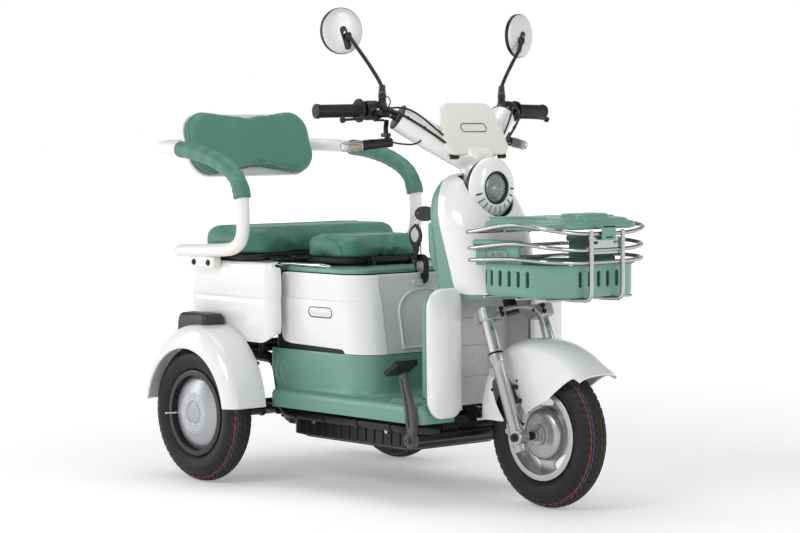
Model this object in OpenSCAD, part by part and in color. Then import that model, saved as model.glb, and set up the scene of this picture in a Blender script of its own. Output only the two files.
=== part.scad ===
// Adult tricycle with two seats, a backrest and a front basket.
// Millimetres. +X is forward, +Y is the rider's left, +Z is up, and the
// ground is z = 0. Modules are written from the rear axle (x = 0) and placed
// so that the origin is under the middle of the whole vehicle.

/* [Vehicle] */
// Distance between the rear and front axles
wheelbase = 979; // [960:1:1000]
// Distance from the centre plane to the middle of a rear wheel
rear_wheel_y = 349; // [345:1:352]
// Rearmost reach behind the rear axle
tail_x = -310; // [-320:1:-310]
// Foremost reach ahead of the rear axle
nose_x = 1190; // [1188:1:1194]

/* [Wheels] */
// Outer radius of a tyre
tyre_r = 187; // [184:1:188]
// Half the width of a tyre
tyre_half_w = 40; // [38:1:41]
// Radius of the rim barrel that the tyre sits on
rim_r = 111; // [110:1:111]
// Radius of the rear half shafts
half_shaft_r = 10; // [9:0.5:11]
// Radius of the front axle
front_axle_r = 6; // [5:0.5:7]

/* [Steering and fork] */
// Rake of the steering axis from the vertical, in degrees
rake = 21; // [20:0.5:22]
// Radius of the steering stem
stem_r = 18; // [16:0.5:19]
// Half the distance between the fork legs
leg_y = 100; // [98:1:102]
// Radius of a chrome fork tube
stanchion_r = 16; // [14:0.5:16]
// Radius of the handlebar tube
bar_r = 11; // [10:0.5:11]

/* [Body] */
// Half the width of the floor
floor_half_w = 250; // [245:1:252]
// Height of the floor
floor_z = 257; // [255:1:260]
// Half the width of the seat box
box_half_w = 220; // [218:1:222]
// Half the width of the rear body
body_half_w = 285; // [280:1:285]
// Wall thickness of the moulded covers
wall = 4; // [3:0.5:5]
// Half the width across the rear fenders
fender_half_w = 410; // [405:1:414]

/* [Seats] */
// Height of the underside of the rear seat base
rear_seat_z = 600; // [600:1:602]
// Half the width of the rear seat
rear_seat_half_w = 275; // [260:1:280]
// Half the width of the front seat
front_seat_half_w = 150; // [140:1:160]
// Recline of the backrest, in degrees
back_recline = 20; // [16:1:20]

/* [Basket] */
// Half the width of the basket tray
tray_half_w = 165; // [160:1:168]
// Height of the basket tray's rim
tray_rim_z = 622; // [620:1:626]
// Radius of the basket wire
wire_r = 5; // [4:0.5:5]

/* [Hidden] */
$fn = 48;

white = "whitesmoke";
green = [0.37, 0.59, 0.51];
black = [0.12, 0.12, 0.13];
dark_grey = [0.25, 0.26, 0.28];
silver = [0.75, 0.76, 0.78];

gap = 0.4;            // clearance between curved neighbours on different bodies
run = 0.05;           // radial clearance of a shaft in its hole
wheel_z = tyre_r;     // height of every axle
mid_x = (tail_x + nose_x) / 2;

// Steering axis: it passes through (fork_x, 0, yoke_z) and leans back by the rake.
yoke_z = 490;
fork_x = 848;
function axis_x(z) = fork_x - (z - yoke_z) * tan(rake);
leg_ahead = 5;        // legs stand this far ahead of the steering axis

// Rear suspension pivot and spring seats
pivot_x = 130;
pivot_z = 190;
shock_x = -45;
shock_y = 150;

// Frame side tubes
rail_y = 190;
rail_z = 188;
rail_r = 14;

// Seat hinges
rear_hinge = [140, 0, 597];
front_hinge = [376, 0, 604];

// Pedal shaft
pedal_x = 755;
pedal_z = 172;
pedal_y = -276;

// Headlight centre, on the front of its bezel
lamp = [800, 0, 803];

// ---------------------------------------------------------------- helpers
module both() { children(); mirror([0, 1, 0]) children(); }
module place() translate([-mid_x, 0, 0]) children();
module to_leg(side = 1) // local +Z runs up the fork leg, origin at the yoke
  translate([fork_x, side * leg_y, yoke_z]) rotate([0, -rake, 0])
    translate([leg_ahead, 0, 0]) children();
module to_steer() translate([fork_x, 0, yoke_z]) rotate([0, -rake, 0]) children();
module along_y(x, z, y0, y1, r) // cylinder from y0 to y1
  translate([x, y0, z]) rotate([-90, 0, 0]) cylinder(r = r, h = y1 - y0);
module rod(p, q, r) { // cylinder between two points
  v = q - p;
  translate(p) rotate([0, acos(v[2] / norm(v)), atan2(v[1], v[0])])
    cylinder(r = r, h = norm(v));
}
// Chain of rods, each run a little past its corners; every second rod is a little thinner
module rods(path, r) {
  for (i = [0 : len(path) - 2]) let (d = unit(path[i + 1] - path[i]) * r * 0.6)
    rod(path[i] - (i > 0 ? d : [0, 0, 0]),
      path[i + 1] + (i < len(path) - 2 ? d : [0, 0, 0]), r - 0.5 * (i % 2));
}
module rrect(x0, x1, y0, y1, r) { // rectangle with round corners
  translate([x0 + r, y0]) square([x1 - x0 - 2 * r, y1 - y0]);
  translate([x0, y0 + r]) square([x1 - x0, y1 - y0 - 2 * r]);
  for (x = [x0 + r, x1 - r], y = [y0 + r, y1 - r]) translate([x, y]) circle(r = r);
}
module slab(x0, x1, half_w, z0, z1, r) // upright prism on a rounded rectangle
  translate([0, 0, z0]) linear_extrude(z1 - z0) rrect(x0, x1, -half_w, half_w, r);
module block(x0, x1, y0, y1, z0, z1) translate([x0, y0, z0]) cube([x1 - x0, y1 - y0, z1 - z0]);
module side_plate(y0, y1) // XZ outline extruded from y0 to y1
  translate([0, y1, 0]) rotate([90, 0, 0]) linear_extrude(y1 - y0) children();
module front_plate(x0, x1) // YZ outline extruded from x0 to x1
  translate([x0, 0, 0]) rotate([90, 0, 90]) linear_extrude(x1 - x0) children();

function unit(v) = v / norm(v);
function away(t, n) = unit(n - (n * t) * t);
function tangents(p) = [for (i = [0 : len(p) - 1])
  unit(p[min(i + 1, len(p) - 1)] - p[max(i - 1, 0)])];
function normals(t, n, i = 0) = i == len(t) ? [] :
  let (m = away(t[i], n)) concat([m], normals(t, m, i + 1));
// Round each corner of a path by cutting it twice
function cut(p) = concat([p[0]], [for (i = [0 : len(p) - 2]) each
  [p[i] * 0.75 + p[i + 1] * 0.25, p[i] * 0.25 + p[i + 1] * 0.75]], [p[len(p) - 1]]);
function soft(p, n = 2) = n == 0 ? p : soft(cut(p), n - 1);
// Tube swept along a path; radii is one value or one per ring
module sweep(p, radii, sides = 16) {
  t = tangents(p);
  n = normals(t, abs(t[0][2]) < 0.9 ? [0, 0, 1] : [1, 0, 0]);
  rings = len(p);
  points = [for (i = [0 : rings - 1]) let (b = cross(t[i], n[i]),
    r = is_list(radii) ? radii[i] : radii) for (k = [0 : sides - 1])
    p[i] + r * (cos(360 * k / sides) * n[i] + sin(360 * k / sides) * b)];
  walls = [for (i = [0 : rings - 2], k = [0 : sides - 1]) let (m = (k + 1) % sides)
    [(i + 1) * sides + k, (i + 1) * sides + m, i * sides + m, i * sides + k]];
  polyhedron(points, concat([[for (k = [0 : sides - 1]) k]], walls,
    [[for (k = [sides - 1 : -1 : 0]) (rings - 1) * sides + k]]), convexity = 8);
}
// Both halves of a path that ends on the centre plane
function mirrored(p) = concat(p, [for (i = [len(p) - 2 : -1 : 0]) [p[i][0], -p[i][1], p[i][2]]]);

// ------------------------------------------------------------ rear running gear
module tyre() // centred on the origin, spinning about Y
  rotate([90, 0, 0]) rotate_extrude($fn = 96) difference() {
    intersection() {
      translate([tyre_r - tyre_half_w, 0]) circle(r = tyre_half_w);
      translate([rim_r + 1, -tyre_half_w]) square([tyre_r, 2 * tyre_half_w]);
    }
    translate([tyre_r - tyre_half_w, 0]) circle(r = tyre_half_w - 9);
    translate([rim_r, -12]) square([20, 24]);
  }
module rim_barrel() // barrel and lips, spinning about Y
  rotate([90, 0, 0]) rotate_extrude($fn = 96) {
    translate([rim_r - 9, -33]) square([5, 66]);
    translate([rim_r - 5, -24]) square([5, 48]);
    for (s = [-1, 1]) translate([rim_r - 9, s * 31 - 2]) square([15, 4]);
  }
module rear_rim() // the hub cap faces +Y
  difference() {
    union() {
      rim_barrel();
      rotate([-90, 0, 0]) rotate_extrude($fn = 96) polygon([[0, 12], [rim_r - 6, 12],
        [rim_r - 6, 20], [80, 30], [52, 34], [28, 34], [0, 36]]);
      along_y(0, 0, -34, 14, 34);
    }
    along_y(0, 0, -35, 24, half_shaft_r + run);
  }
module rear_tyre_left() color(black) translate([0, rear_wheel_y, wheel_z]) tyre();
module rear_tyre_right() color(black) translate([0, -rear_wheel_y, wheel_z]) tyre();
module rear_rim_left() color(silver) translate([0, rear_wheel_y, wheel_z]) rear_rim();
module rear_rim_right() color(silver)
  translate([0, -rear_wheel_y, wheel_z]) mirror([0, 1, 0]) rear_rim();

module axle_carrier() color(dark_grey) difference() {
  union() {
    along_y(0, wheel_z, -290, 290, 22);
    along_y(0, wheel_z, -45, 45, 58);
    along_y(54, wheel_z, 40, 130, 46);
    along_y(pivot_x, pivot_z, -168, 168, 16);
    both() {
      rod([pivot_x - 12, shock_y, pivot_z], [0, shock_y, wheel_z], 13);
      rod([0, shock_y, wheel_z], [shock_x, shock_y, wheel_z + 6], 12);
      translate([shock_x, shock_y, wheel_z]) cylinder(r = 12, h = 20);
      translate([shock_x, shock_y, 205]) cylinder(r = 27, h = 6);
      translate([shock_x, shock_y, 205]) cylinder(r = 7, h = 53);
      along_y(0, wheel_z, 290, 311, 60);
      along_y(0, wheel_z, 300, rear_wheel_y + 20, half_shaft_r);
    }
  }
  along_y(pivot_x, pivot_z, -180, 180, 10 + run);
}
module shock_springs() color(silver) both() translate([shock_x, shock_y, 211 + gap])
  difference() {
    cylinder(r = 25, h = 118);
    translate([0, 0, -1]) cylinder(r = 19, h = 120);
  }

// ---------------------------------------------------------------------- frame
module head_tube() to_steer() difference() {
  translate([0, 0, 60]) cylinder(r = 27, h = 230);
  translate([0, 0, 59]) cylinder(r = stem_r + run, h = 232);
}
module main_frame() color(black) {
  both() {
    rods([[735, 142, rail_z], [640, rail_y, rail_z], [150, rail_y, rail_z],
      [118, rail_y, 330], [-165, rail_y, 345]], rail_r);
    for (x = [-110, 60]) rod([x, rail_y, 340], [x, rail_y, 572], 10.5);
    rod([-150, rail_y, 572], [110, rail_y, 572], 12);
    rod([420, 150, rail_z], [420, 150, 560], 11);
    rod([104, rail_y, 572], [rear_hinge[0], rail_y, rear_hinge[2]], 9);
    translate([shock_x, shock_y, 330]) cylinder(r = 23, h = 5);
  }
  along_y(735, rail_z, -146, 146, 12.5);
  along_y(420, rail_z, -rail_y, rail_y, 12);
  along_y(420, 556, -152, 152, 10);
  along_y(pivot_x, pivot_z, -rail_y - 6, rail_y + 6, 10);
  along_y(shock_x, 346, -rail_y, rail_y, 12);
  along_y(-160, 346, -rail_y, rail_y, 12);
  along_y(rear_hinge[0], rear_hinge[2], -222, 222, 10);
  // Down tube from the front cross tube to the head tube
  rods([[735, 0, rail_z], [684, 0, 230], [684, 0, 540], [768, 0, 602]], 19);
  head_tube();
  // Pedal shaft with its two lugs
  along_y(pedal_x, pedal_z, pedal_y, 240, 10);
  both() rod([735, 100, rail_z], [pedal_x, 100, pedal_z], 8);
}
module under_tray() color(black) difference() {
  union() {
    slab(165, 640, 172, 130, 205, 22);
    slab(185, 620, 150, 122, 131, 16);
  }
  slab(165 + wall, 640 - wall, 172 - wall, 134, 206, 18);
  // Room for the front post cross tube
  along_y(420, rail_z, -180, 180, 12 + gap);
  both() rod([420, 150, rail_z - 16], [420, 150, 260], 12 + gap);
}

// ------------------------------------------------------------- moulded covers
module floor_panel() color(green) {
  difference() {
    slab(160, 774, floor_half_w, 210, floor_z, 24);
    slab(160 + wall, 774 - wall, floor_half_w - wall, 209, floor_z - 5, 20);
    block(640, 780, -134, 134, 200, 270);
    slab(130 + wall, 470, box_half_w - 2 * wall, 200, 270, 30);
  }
  // Upright wall round the base of the seat box
  difference() {
    slab(128, 500, box_half_w, floor_z - 1, 340, 60);
    slab(128 + wall, 500 - wall, box_half_w - wall, floor_z - 2, 341, 56);
    block(120, 188, -box_half_w + wall, box_half_w - wall, floor_z - 3, 341);
  }
  // Anti-slip ribs
  for (i = [0 : 7]) block(520, 620, -196 + i * 52, -176 + i * 52, floor_z - 0.5, floor_z + 2.5);
}
module inner_shield() color(green) {
  both() {
    difference() {
      front_plate(770, 781) rrect(128, 243, 262, 545, 40);
    }
    block(652, 774, 127.5, 130.5, 262, 512);
  }
  block(648, 653, -130.5, 130.5, 262, 512);
}
module leg_shield() color(white) {
  both() {
    front_plate(784, 796) rrect(122, 237, 222, 553, 52);
    block(708, 790, 122, 126, 240, 512);
  }
  block(706, 710, -126, 126, 240, 512);
}
module box_form(grow, past) { // upright behind, leaning back in front
  lean = 44 / 230;
  intersection() {
    slab(130 - grow, 700, box_half_w + grow, 345 - past, 575 + past, 80 + grow);
    translate([0, 0, 345]) multmatrix([[1, 0, -lean, 0], [0, 1, 0, 0], [0, 0, 1, 0]])
      slab(-100, 540 + grow, box_half_w + grow, -past, 230 + past, 80 + grow);
  }
}
module seat_box() color(white) difference() { // open above and below
  box_form(0, 0);
  box_form(-wall, 3);
}
module seat_deck() color(green) {
  difference() {
    slab(158, 478, 212, 576, 588, 60);
    slab(200, 350, 120, 575, 590, 20);
  }
  // Front seat hinge ears and pin
  both() block(front_hinge[0] - 8, front_hinge[0] + 8, 64, 72, 587, front_hinge[2] + 8);
  along_y(front_hinge[0], front_hinge[2], -66, 66, 5);
}
module rear_body() color(white) difference() {
  slab(-180, 255, body_half_w, 377, 598, 50);
  slab(-180 + wall, 255 - wall, body_half_w - wall, 370, 590, 46);
  block(200, 260, -box_half_w - 4, box_half_w + 4, 370, 600);
  // Storage well under the rear seat, and room for the seat box in front
  slab(-90, 100, 165, 580, 600, 20);
  block(100, 260, -box_half_w - 4, box_half_w + 4, 570, 600);
}
module tail_lamps() color("firebrick") both()
  front_plate(-196, -180.2) rrect(150, 240, 470, 520, 18);

module arch(a, b) // upper part of an ellipse round the axle
  polygon(concat([for (t = [-8 : 4 : 188]) [a * cos(t), wheel_z + b * sin(t)]]));
module rear_fenders() color(white) both() difference() {
  union() {
    side_plate(body_half_w + 1, fender_half_w - 14) arch(200, 240);
    side_plate(fender_half_w - 14, fender_half_w) arch(194, 233);
  }
  side_plate(body_half_w, fender_half_w - wall) arch(196, 236);
  side_plate(fender_half_w - 15, fender_half_w + 1) translate([-12, 0]) arch(172, 178);
  block(-300, 300, 250, 450, 100, 213);
}
module fender_caps() color(dark_grey) both() difference() {
  slab_cap();
  side_plate(body_half_w - 5, fender_half_w) arch(200 + gap, 240 + gap);
}
module slab_cap() translate([0, 324, 0]) union() {
  slab(-112, 28, 36, 395, 446, 24);
  slab(-102, 18, 28, 446, 456, 20);
}

// --------------------------------------------------------------- front column
module column_form(grow) hull() { // plan sections, bottom to top
  translate([0, 0, 522]) linear_extrude(1) plan(655 - grow, 868 + grow, 118 + grow);
  translate([0, 0, 556]) linear_extrude(1) plan(655 - grow, 864 + grow, 122 + grow);
  translate([0, 0, 720]) linear_extrude(1) plan(650 - grow, 815 + grow, 130 + grow);
  translate([0, 0, 800]) linear_extrude(1) plan(650 - grow, 770 + grow, 104 + grow);
  translate([0, 0, 829]) linear_extrude(1) plan(662 - grow, 752 + grow, 80 + grow);
}
module plan(x0, x1, half_w) rrect(x0, x1, -half_w, half_w, min(half_w, (x1 - x0) / 2) - 2, $fn = 32);
module column_shell() difference() {
  column_form(0);
  translate([0, 0, -1]) column_form(-wall);
  block(600, 900, -200, 200, 515, 523.5);
  to_steer() translate([0, 0, 200]) cylinder(r = 40, h = 200);
}
module behind_split(shift) // half-space behind the seam of the two covers
  side_plate(-200, 200) polygon([[500, 500], [792 + shift, 500], [792 + shift, 522],
    [742 + shift, 720], [704 + shift, 840], [500, 840]]);
module column_front_cover() color(white) difference() {
  column_shell();
  behind_split(0.6);
  rotate_lamp() {
    translate([0, 0, -3]) cylinder(r = 74, h = 90);
    translate([0, 0, 36]) cylinder(r = 80, h = 60);
  }
}
module column_rear_cover() color(green) {
  difference() {
    intersection() {
      column_shell();
      behind_split(-0.6);
    }
    block(600, 700, -82, 82, 584, 706);
    translate([640, 0, 735]) rotate([0, 90, 0]) cylinder(r = 15, h = 40);
  }
  // Open glove pocket
  difference() {
    slab(612, 690, 84, 580, 710, 14);
    slab(612 + wall, 690 - wall, 84 - wall, 580 + wall, 711, 10);
  }
}
module rotate_lamp() translate([lamp[0] - 62, 0, lamp[2]]) rotate([0, 90, 0]) children();
module headlight_housing() color(dark_grey) difference() {
  lamp_shell();
  to_steer() cylinder(r = 31, h = 360); // room for the head tube and stem
}
module lamp_shell() rotate_lamp() difference() {
  rotate_extrude($fn = 96) polygon([[0, 15], [62, 15], [72, 20], [73, 37], [79, 39], [79, 46],
    [72, 55], [42, 62], [38, 62], [38, 44], [68, 38], [68, 22], [60, 19], [0, 19]]);
  for (i = [-4 : 4]) rotate([0, 0, 35 + i * 17]) translate([50, -2.5, 45]) cube([17, 5, 30]);
}
module headlight_lens() color("lightcyan") rotate_lamp()
  rotate_extrude($fn = 64) polygon([[0, 50], [22, 49], [37.6, 44], [37.6, 47], [22, 52], [0, 53]]);
module ignition_lock() color(dark_grey) {
  translate([630, 0, 735]) rotate([0, 90, 0]) difference() {
    cylinder(r = 14, h = 55);
    translate([0, 0, -1]) cylinder(r = 5 + run, h = 14);
  }
}
module key() color(silver) {
  translate([608, 0, 735]) rotate([0, 90, 0]) cylinder(r = 5, h = 32);
  block(588, 612, -1.5, 1.5, 723, 747);
}

// --------------------------------------------------------------------- basket
module tray_form(grow, z0, z1) slab(870 - grow, 1160 + grow, tray_half_w + grow, z0, z1, 90 + grow);
module basket_tray() color(green) difference() {
  union() {
    tray_form(-12, 541, 551);
    tray_form(0, 549, tray_rim_z);
    tray_form(8, tray_rim_z - 4, tray_rim_z);
    both() {
      block(892, 1046, tray_half_w - 3, tray_half_w, tray_rim_z - 1, 672);
      rod([892, tray_half_w - 3, 672], [1046, tray_half_w - 3, 672], 9);
    }
  }
  tray_form(-wall, 553, tray_rim_z + 1);
  // Slots in the side walls and the front wall
  for (i = [0 : 5]) block(906 + i * 32, 918 + i * 32, -200, 200, 566, 606);
  for (i = [0 : 4]) block(1140, 1180, -76 + i * 32, -64 + i * 32, 566, 606);
  both() block(930, 990, tray_half_w - 5, tray_half_w + 2, 628, 638);
}
// One closed hoop: it rises along the sides and dips at the front corners
function hoop(z, half_w, x0, x1, rise, dip) = let (r = 96) soft(concat(
  [[x0 + 40, half_w, z], [(x0 + x1) / 2, half_w, z + rise], [x1 - r, half_w, z + rise],
   [x1 - 20, half_w - 12, z + rise - dip * 0.5], [x1, half_w - r, z + rise - dip],
   [x1, 0, z + rise - dip], [x1, r - half_w, z + rise - dip],
   [x1 - 20, 12 - half_w, z + rise - dip * 0.5], [x1 - r, -half_w, z + rise],
   [(x0 + x1) / 2, -half_w, z + rise], [x0 + 40, -half_w, z], [x0 + 6, -half_w + 6, z - 2],
   [x0, -half_w + 40, z - 3], [x0, half_w - 40, z - 3], [x0 + 6, half_w - 6, z - 2],
   [x0 + 38, half_w, z]]), 1);
lid_hinge = [864, 0, 712];
plate_slot = [36, 676]; // spacing from the middle and height of the slots
module basket_frame() color(silver) {
  hoops = [[700, 182, 858, 1178, 20, 22], [660, 180, 862, 1176, 14, 16], [630, 180, 864, 1176, 6, 8]];
  for (h = hoops) sweep(hoop(h[0], h[1], h[2], h[3], h[4], h[5]), wire_r, 8);
  both() {
    sweep(soft([[1179, 55, 702], [1180, 55, 580], [1176, 55, 537], [1130, 55, 535],
      [900, 55, 535], [861, 55, 536]], 2), wire_r + 0.5, 10);
    block(lid_hinge[0] - 5, lid_hinge[0] + 5, 44, 48, 696, lid_hinge[2] + 5);
  }
  along_y(lid_hinge[0], lid_hinge[2], -46, 46, 3);
  difference() { // plate bracket with two slots
    block(1174, 1178, -52, 52, 648, 690);
    for (s = [-1, 1]) front_plate(1170, 1180) rrect(plate_slot[0] * s - 9, plate_slot[0] * s + 9,
      plate_slot[1] - 3.5, plate_slot[1] + 3.5, 3.49);
  }
}
module basket_lid() color(green) {
  difference() {
    union() {
      slab(874, 1166, 172, 708, 724, 88);
      slab(890, 1150, 152, 723, 734, 76);
      along_y(lid_hinge[0], lid_hinge[2], -41, 41, 7);
      block(lid_hinge[0], 884, -41, 41, 711, 718);
    }
    slab(882, 1158, 164, 707, 718, 80);
    slab(898, 1142, 144, 717, 729, 70);
    along_y(lid_hinge[0], lid_hinge[2], -60, 60, 3 + run);
  }
  // Latch tongue over the top wire
  block(1160, nose_x, -24, 24, 712, 718);
  block(nose_x - 4, nose_x, -24, 24, 684, 718);
}

// ------------------------------------------------------- armrests and backrest
arm_y = 310;
arm_path = [[-150, arm_y, 621], [46, arm_y, 628], [100, arm_y, 636], [130, arm_y, 665],
  [133, arm_y, 726], [128, arm_y, 790], [96, arm_y, 838], [20, arm_y, 872], [-70, arm_y, 893],
  [-150, arm_y, 901], [-235, arm_y, 906], [-285, arm_y - 45, 908], [-292, arm_y - 110, 908],
  [-292, 0, 908]];
arm_curve = soft(mirrored(arm_path), 1);
function stretch(a, b) = [for (i = [a : b]) arm_curve[i]];
module armrest_frame() color(white) {
  sweep(arm_curve, 18, 16);
  both() {
    block(-105, 2, body_half_w + gap, body_half_w + 30, 577, 608);
    block(-290, -273.2, 100, 140, 898, 918);
  }
}
module armrest_sleeves() color(green) both() difference() {
  sweep(stretch(11, 19), 23, 16);
  sweep(stretch(10, 20), 19, 16);
}
back_h = 188;         // height of the backrest along its slope
back_z = 924;         // height of its middle
back_x = -212;        // its front face at the middle
module to_back() translate([back_x, 0, back_z]) rotate([0, -back_recline, 0]) children();
module backrest_cushion() color(green) to_back() front_plate(-44, 0)
  rrect(-218, 218, -back_h / 2, back_h / 2, 62);
module backrest_shell() color(white) to_back() front_plate(-58, -44.5)
  rrect(-212, 212, -back_h / 2 + 5, back_h / 2 - 5, 58);

// ---------------------------------------------------------------------- seats
module rear_seat_base() color(black) {
  difference() {
    union() {
      slab(-122, 118, rear_seat_half_w - 4, rear_seat_z, rear_seat_z + 17, 46);
      both() {
        along_y(rear_hinge[0], rear_hinge[2], 140, 160, 15);
        block(112, rear_hinge[0], 140, 160, rear_seat_z + 3, rear_seat_z + 12);
      }
    }
    along_y(rear_hinge[0], rear_hinge[2], -240, 240, 10 + run);
  }
}
module rear_seat_cushion() color(green)
  slab(-125, 120, rear_seat_half_w, rear_seat_z + 17.5, 690, 52);
module front_seat_base() color(black) difference() {
  union() {
    slab(178, 362, front_seat_half_w - 4, 596, 611, 46);
    along_y(front_hinge[0], front_hinge[2], -62, 62, 9);
    block(350, front_hinge[0], -58, 58, 600, 608);
  }
  along_y(front_hinge[0], front_hinge[2], -70, 70, 5 + run);
}
module front_seat_cushion() color(green)
  slab(175, 365, front_seat_half_w, 611.5, 670, 52);

// ------------------------------------------------------------- steering group
module steering_stem() color(silver) {
  to_steer() translate([0, 0, -6]) cylinder(r = stem_r, h = 450);
  to_steer() {
    difference() {
      translate([-22, -leg_y - 19, -24]) cube([50, 2 * leg_y + 38, 32]);
      both() translate([leg_ahead, leg_y, -30]) cylinder(r = stanchion_r + run, h = 60);
      // Arched lower side of the yoke
      translate([-30, 0, -58]) rotate([0, 90, 0]) cylinder(r = 62, h = 80);
    }
    translate([-12, 0, 431]) rotate([0, 90, 0]) cylinder(r = 15.5, h = 24);
  }
}
arm_in = [[620, 183, 984], [640, 140, 955], [668, 90, 922], [axis_x(890), 34, 888],
  [axis_x(876), 0, 876]];
module stem_cover() color(white) difference() {
  union() {
    sweep(soft(mirrored(arm_in), 1), 36, 16);
    to_steer() translate([0, 0, 380]) cylinder(r = 32, h = 48);
  }
  sweep(soft(mirrored(concat([[608, 202, 1000]], arm_in)), 1), 33, 16);
  to_steer() translate([0, 0, 340]) cylinder(r = 28, h = 100);
}
module cowl_plate() color("ivory") translate([736, 0, 885]) rotate([0, -23, 0])
  front_plate(0, 9) polygon([[-108, 14], [-98, 2], [98, 2], [108, 14], [100, 70], [84, 130],
    [70, 141], [-70, 141], [-84, 130], [-100, 70]]);
bar_bend = [586, 214, 1000];
grip_in = [574, 268, 1002];
grip_out = [553, 402, 1000];
function on_line(t) = grip_in + t * (grip_out - grip_in);
bar_path = [on_line(0.93), on_line(-0.02), on_line(-0.15), bar_bend, [606, 190, 993],
  [640, 140, 956], [669, 90, 922], [692, 40, 899], [axis_x(892), 0, 892]];
module handlebar() color(black) sweep(soft(mirrored(bar_path), 1), bar_r, 16);
module on_grip() // local +Z runs outward along the left grip
  translate(grip_in) rotate([0, acos((grip_out[2] - grip_in[2]) / norm(grip_out - grip_in)),
    atan2(grip_out[1] - grip_in[1], grip_out[0] - grip_in[0])]) children();
module grip(flange) on_grip() difference() {
  union() {
    translate([0, 0, 12]) cylinder(r = 17, h = 124);
    translate([0, 0, 4]) cylinder(r = flange, h = 9);
    translate([0, 0, 130]) cylinder(r = 19, h = 6);
  }
  translate([0, 0, -5]) cylinder(r = bar_r + run + 0.4, h = 160);
}
module left_grip() color(black) grip(26);
module throttle_grip() color(black) mirror([0, 1, 0]) grip(30);
lever_pivot = [606, 240, 984];
module control_housings() color(black) both() difference() {
  union() {
    block(566, 612, 222, 262, 978, 1018);
    block(582, 616, 200, 224, 984, 1012);
    translate([589, 211, 1000]) cylinder(r = 10.5, h = 44);
    block(596, 622, 228, 252, 974, 994);
  }
  sweep(soft(bar_path, 1), bar_r + 0.6, 16);
  translate([589, 211, 1014]) cylinder(r = 5 + run, h = 40);
  translate([lever_pivot[0], lever_pivot[1], 960]) cylinder(r = 3 + run, h = 60);
  block(594, 630, 226, 262, 980, 988.5);
  translate([575, 240, 1012]) cylinder(r = 7 + run, h = 20);
  translate([575, 250, 985]) rotate([0, -90, 0]) cylinder(r = 5 + run, h = 20);
}
lever_path = [[611, 246, 984.2], [622, 262, 984], [624, 300, 982], [612, 340, 979], [609, 358, 978]];
module lever() {
  difference() {
    translate([lever_pivot[0], lever_pivot[1], 981]) cylinder(r = 9, h = 6.5);
    translate([lever_pivot[0], lever_pivot[1], 970]) cylinder(r = 3.2, h = 30);
  }
  sweep(soft(lever_path, 2), 3.2, 10);
  translate([609, 360, 978]) sphere(r = 8);
}
module brake_lever_left() color(black) lever();
module brake_lever_right() color(black) mirror([0, 1, 0]) lever();
module horn_button() color("orangered") translate([575, 240, 1016]) cylinder(r = 7, h = 9);
module mode_button() color("orangered") translate([575, -240, 1016]) cylinder(r = 7, h = 9);
module light_button() color("limegreen") translate([571, -250, 985]) rotate([0, -90, 0])
  cylinder(r = 5, h = 12);

blink_in = [622, 205, 921];
blink_out = [558, 325, 908];
module indicators() color(black) both() {
  rod(blink_in, blink_in * 0.42 + blink_out * 0.58, 12);
  sweep(soft([[614, 214, 925], [604, 214, 950], [600, 206, 976]], 2), 6, 10);
}
module indicator_lenses() color("gainsboro") both()
  rod(blink_in * 0.415 + blink_out * 0.585, blink_out, 12);
module cables() color(black) {
  both() sweep(soft([[616.5, 232, 1004], [642, 222, 1004], [678, 190, 978], [706, 130, 936],
    [722, 84, 902], [716, 62, 884]], 2), 3.5, 8);
}

// Mirrors: the stem turns in its perch and the head tilts on the stem's ball
mirror_at = [558, 314, 1204];
module mirror_stem() sweep(soft([[589, 211, 1016], [589, 211, 1052], [588, 214, 1072],
  [572, 262, 1134], [565, 296, 1176], [567, 306, 1190]], 2), 5 - run, 12);
module mirror_head() difference() {
  translate(mirror_at) rotate([0, 0, 11]) rotate([0, 90, 0]) union() {
    translate([0, 0, -8]) cylinder(r = 59, h = 10, $fn = 64);
    translate([0, 0, 2]) cylinder(r1 = 58, r2 = 40, h = 8, $fn = 64);
  }
  translate([567, 306, 1190]) sphere(r = 8, $fn = 24);
  rod([567, 306, 1190], [558, 276, 1150], 12);
}
module mirror_stem_left() color(black) mirror_stem();
module mirror_stem_right() color(black) mirror([0, 1, 0]) mirror_stem();
module mirror_head_left() color(silver) mirror_head();
module mirror_head_right() color(silver) mirror([0, 1, 0]) mirror_head();

// ----------------------------------------------------------------- front fork
module fork_stanchions() color("silver") for (s = [-1, 1]) to_leg(s)
  translate([0, 0, -235]) cylinder(r = stanchion_r, h = 247);
leg_down = (yoke_z - wheel_z) / cos(rake); // from the yoke to axle height along a leg
module fork_lowers() color(silver) for (s = [-1, 1]) difference() {
  union() {
    to_leg(s) {
      translate([0, 0, -leg_down - 42]) cylinder(r = 18, h = leg_down - 80);
      translate([0, 0, -134]) cylinder(r = 22.5, h = 24);
    }
    along_y(wheelbase, wheel_z, s > 0 ? 84 : -118, s > 0 ? 118 : -84, 20);
  }
  to_leg(s) translate([0, 0, -300]) cylinder(r = stanchion_r + run, h = 250);
  along_y(wheelbase, wheel_z, -130, 130, front_axle_r + run);
}
module front_axle() color(black) {
  along_y(wheelbase, wheel_z, -129, 129, front_axle_r);
  both() {
    along_y(wheelbase, wheel_z, 118.4, 126, 11, $fn = 6);
    along_y(wheelbase, wheel_z, 60, 81.5, 11);
  }
}
fender_r = 228;
module front_arc(r) polygon(concat([[0, 0]], [for (t = [30 : 4 : 174]) [r * cos(t), r * sin(t)]]));
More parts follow.
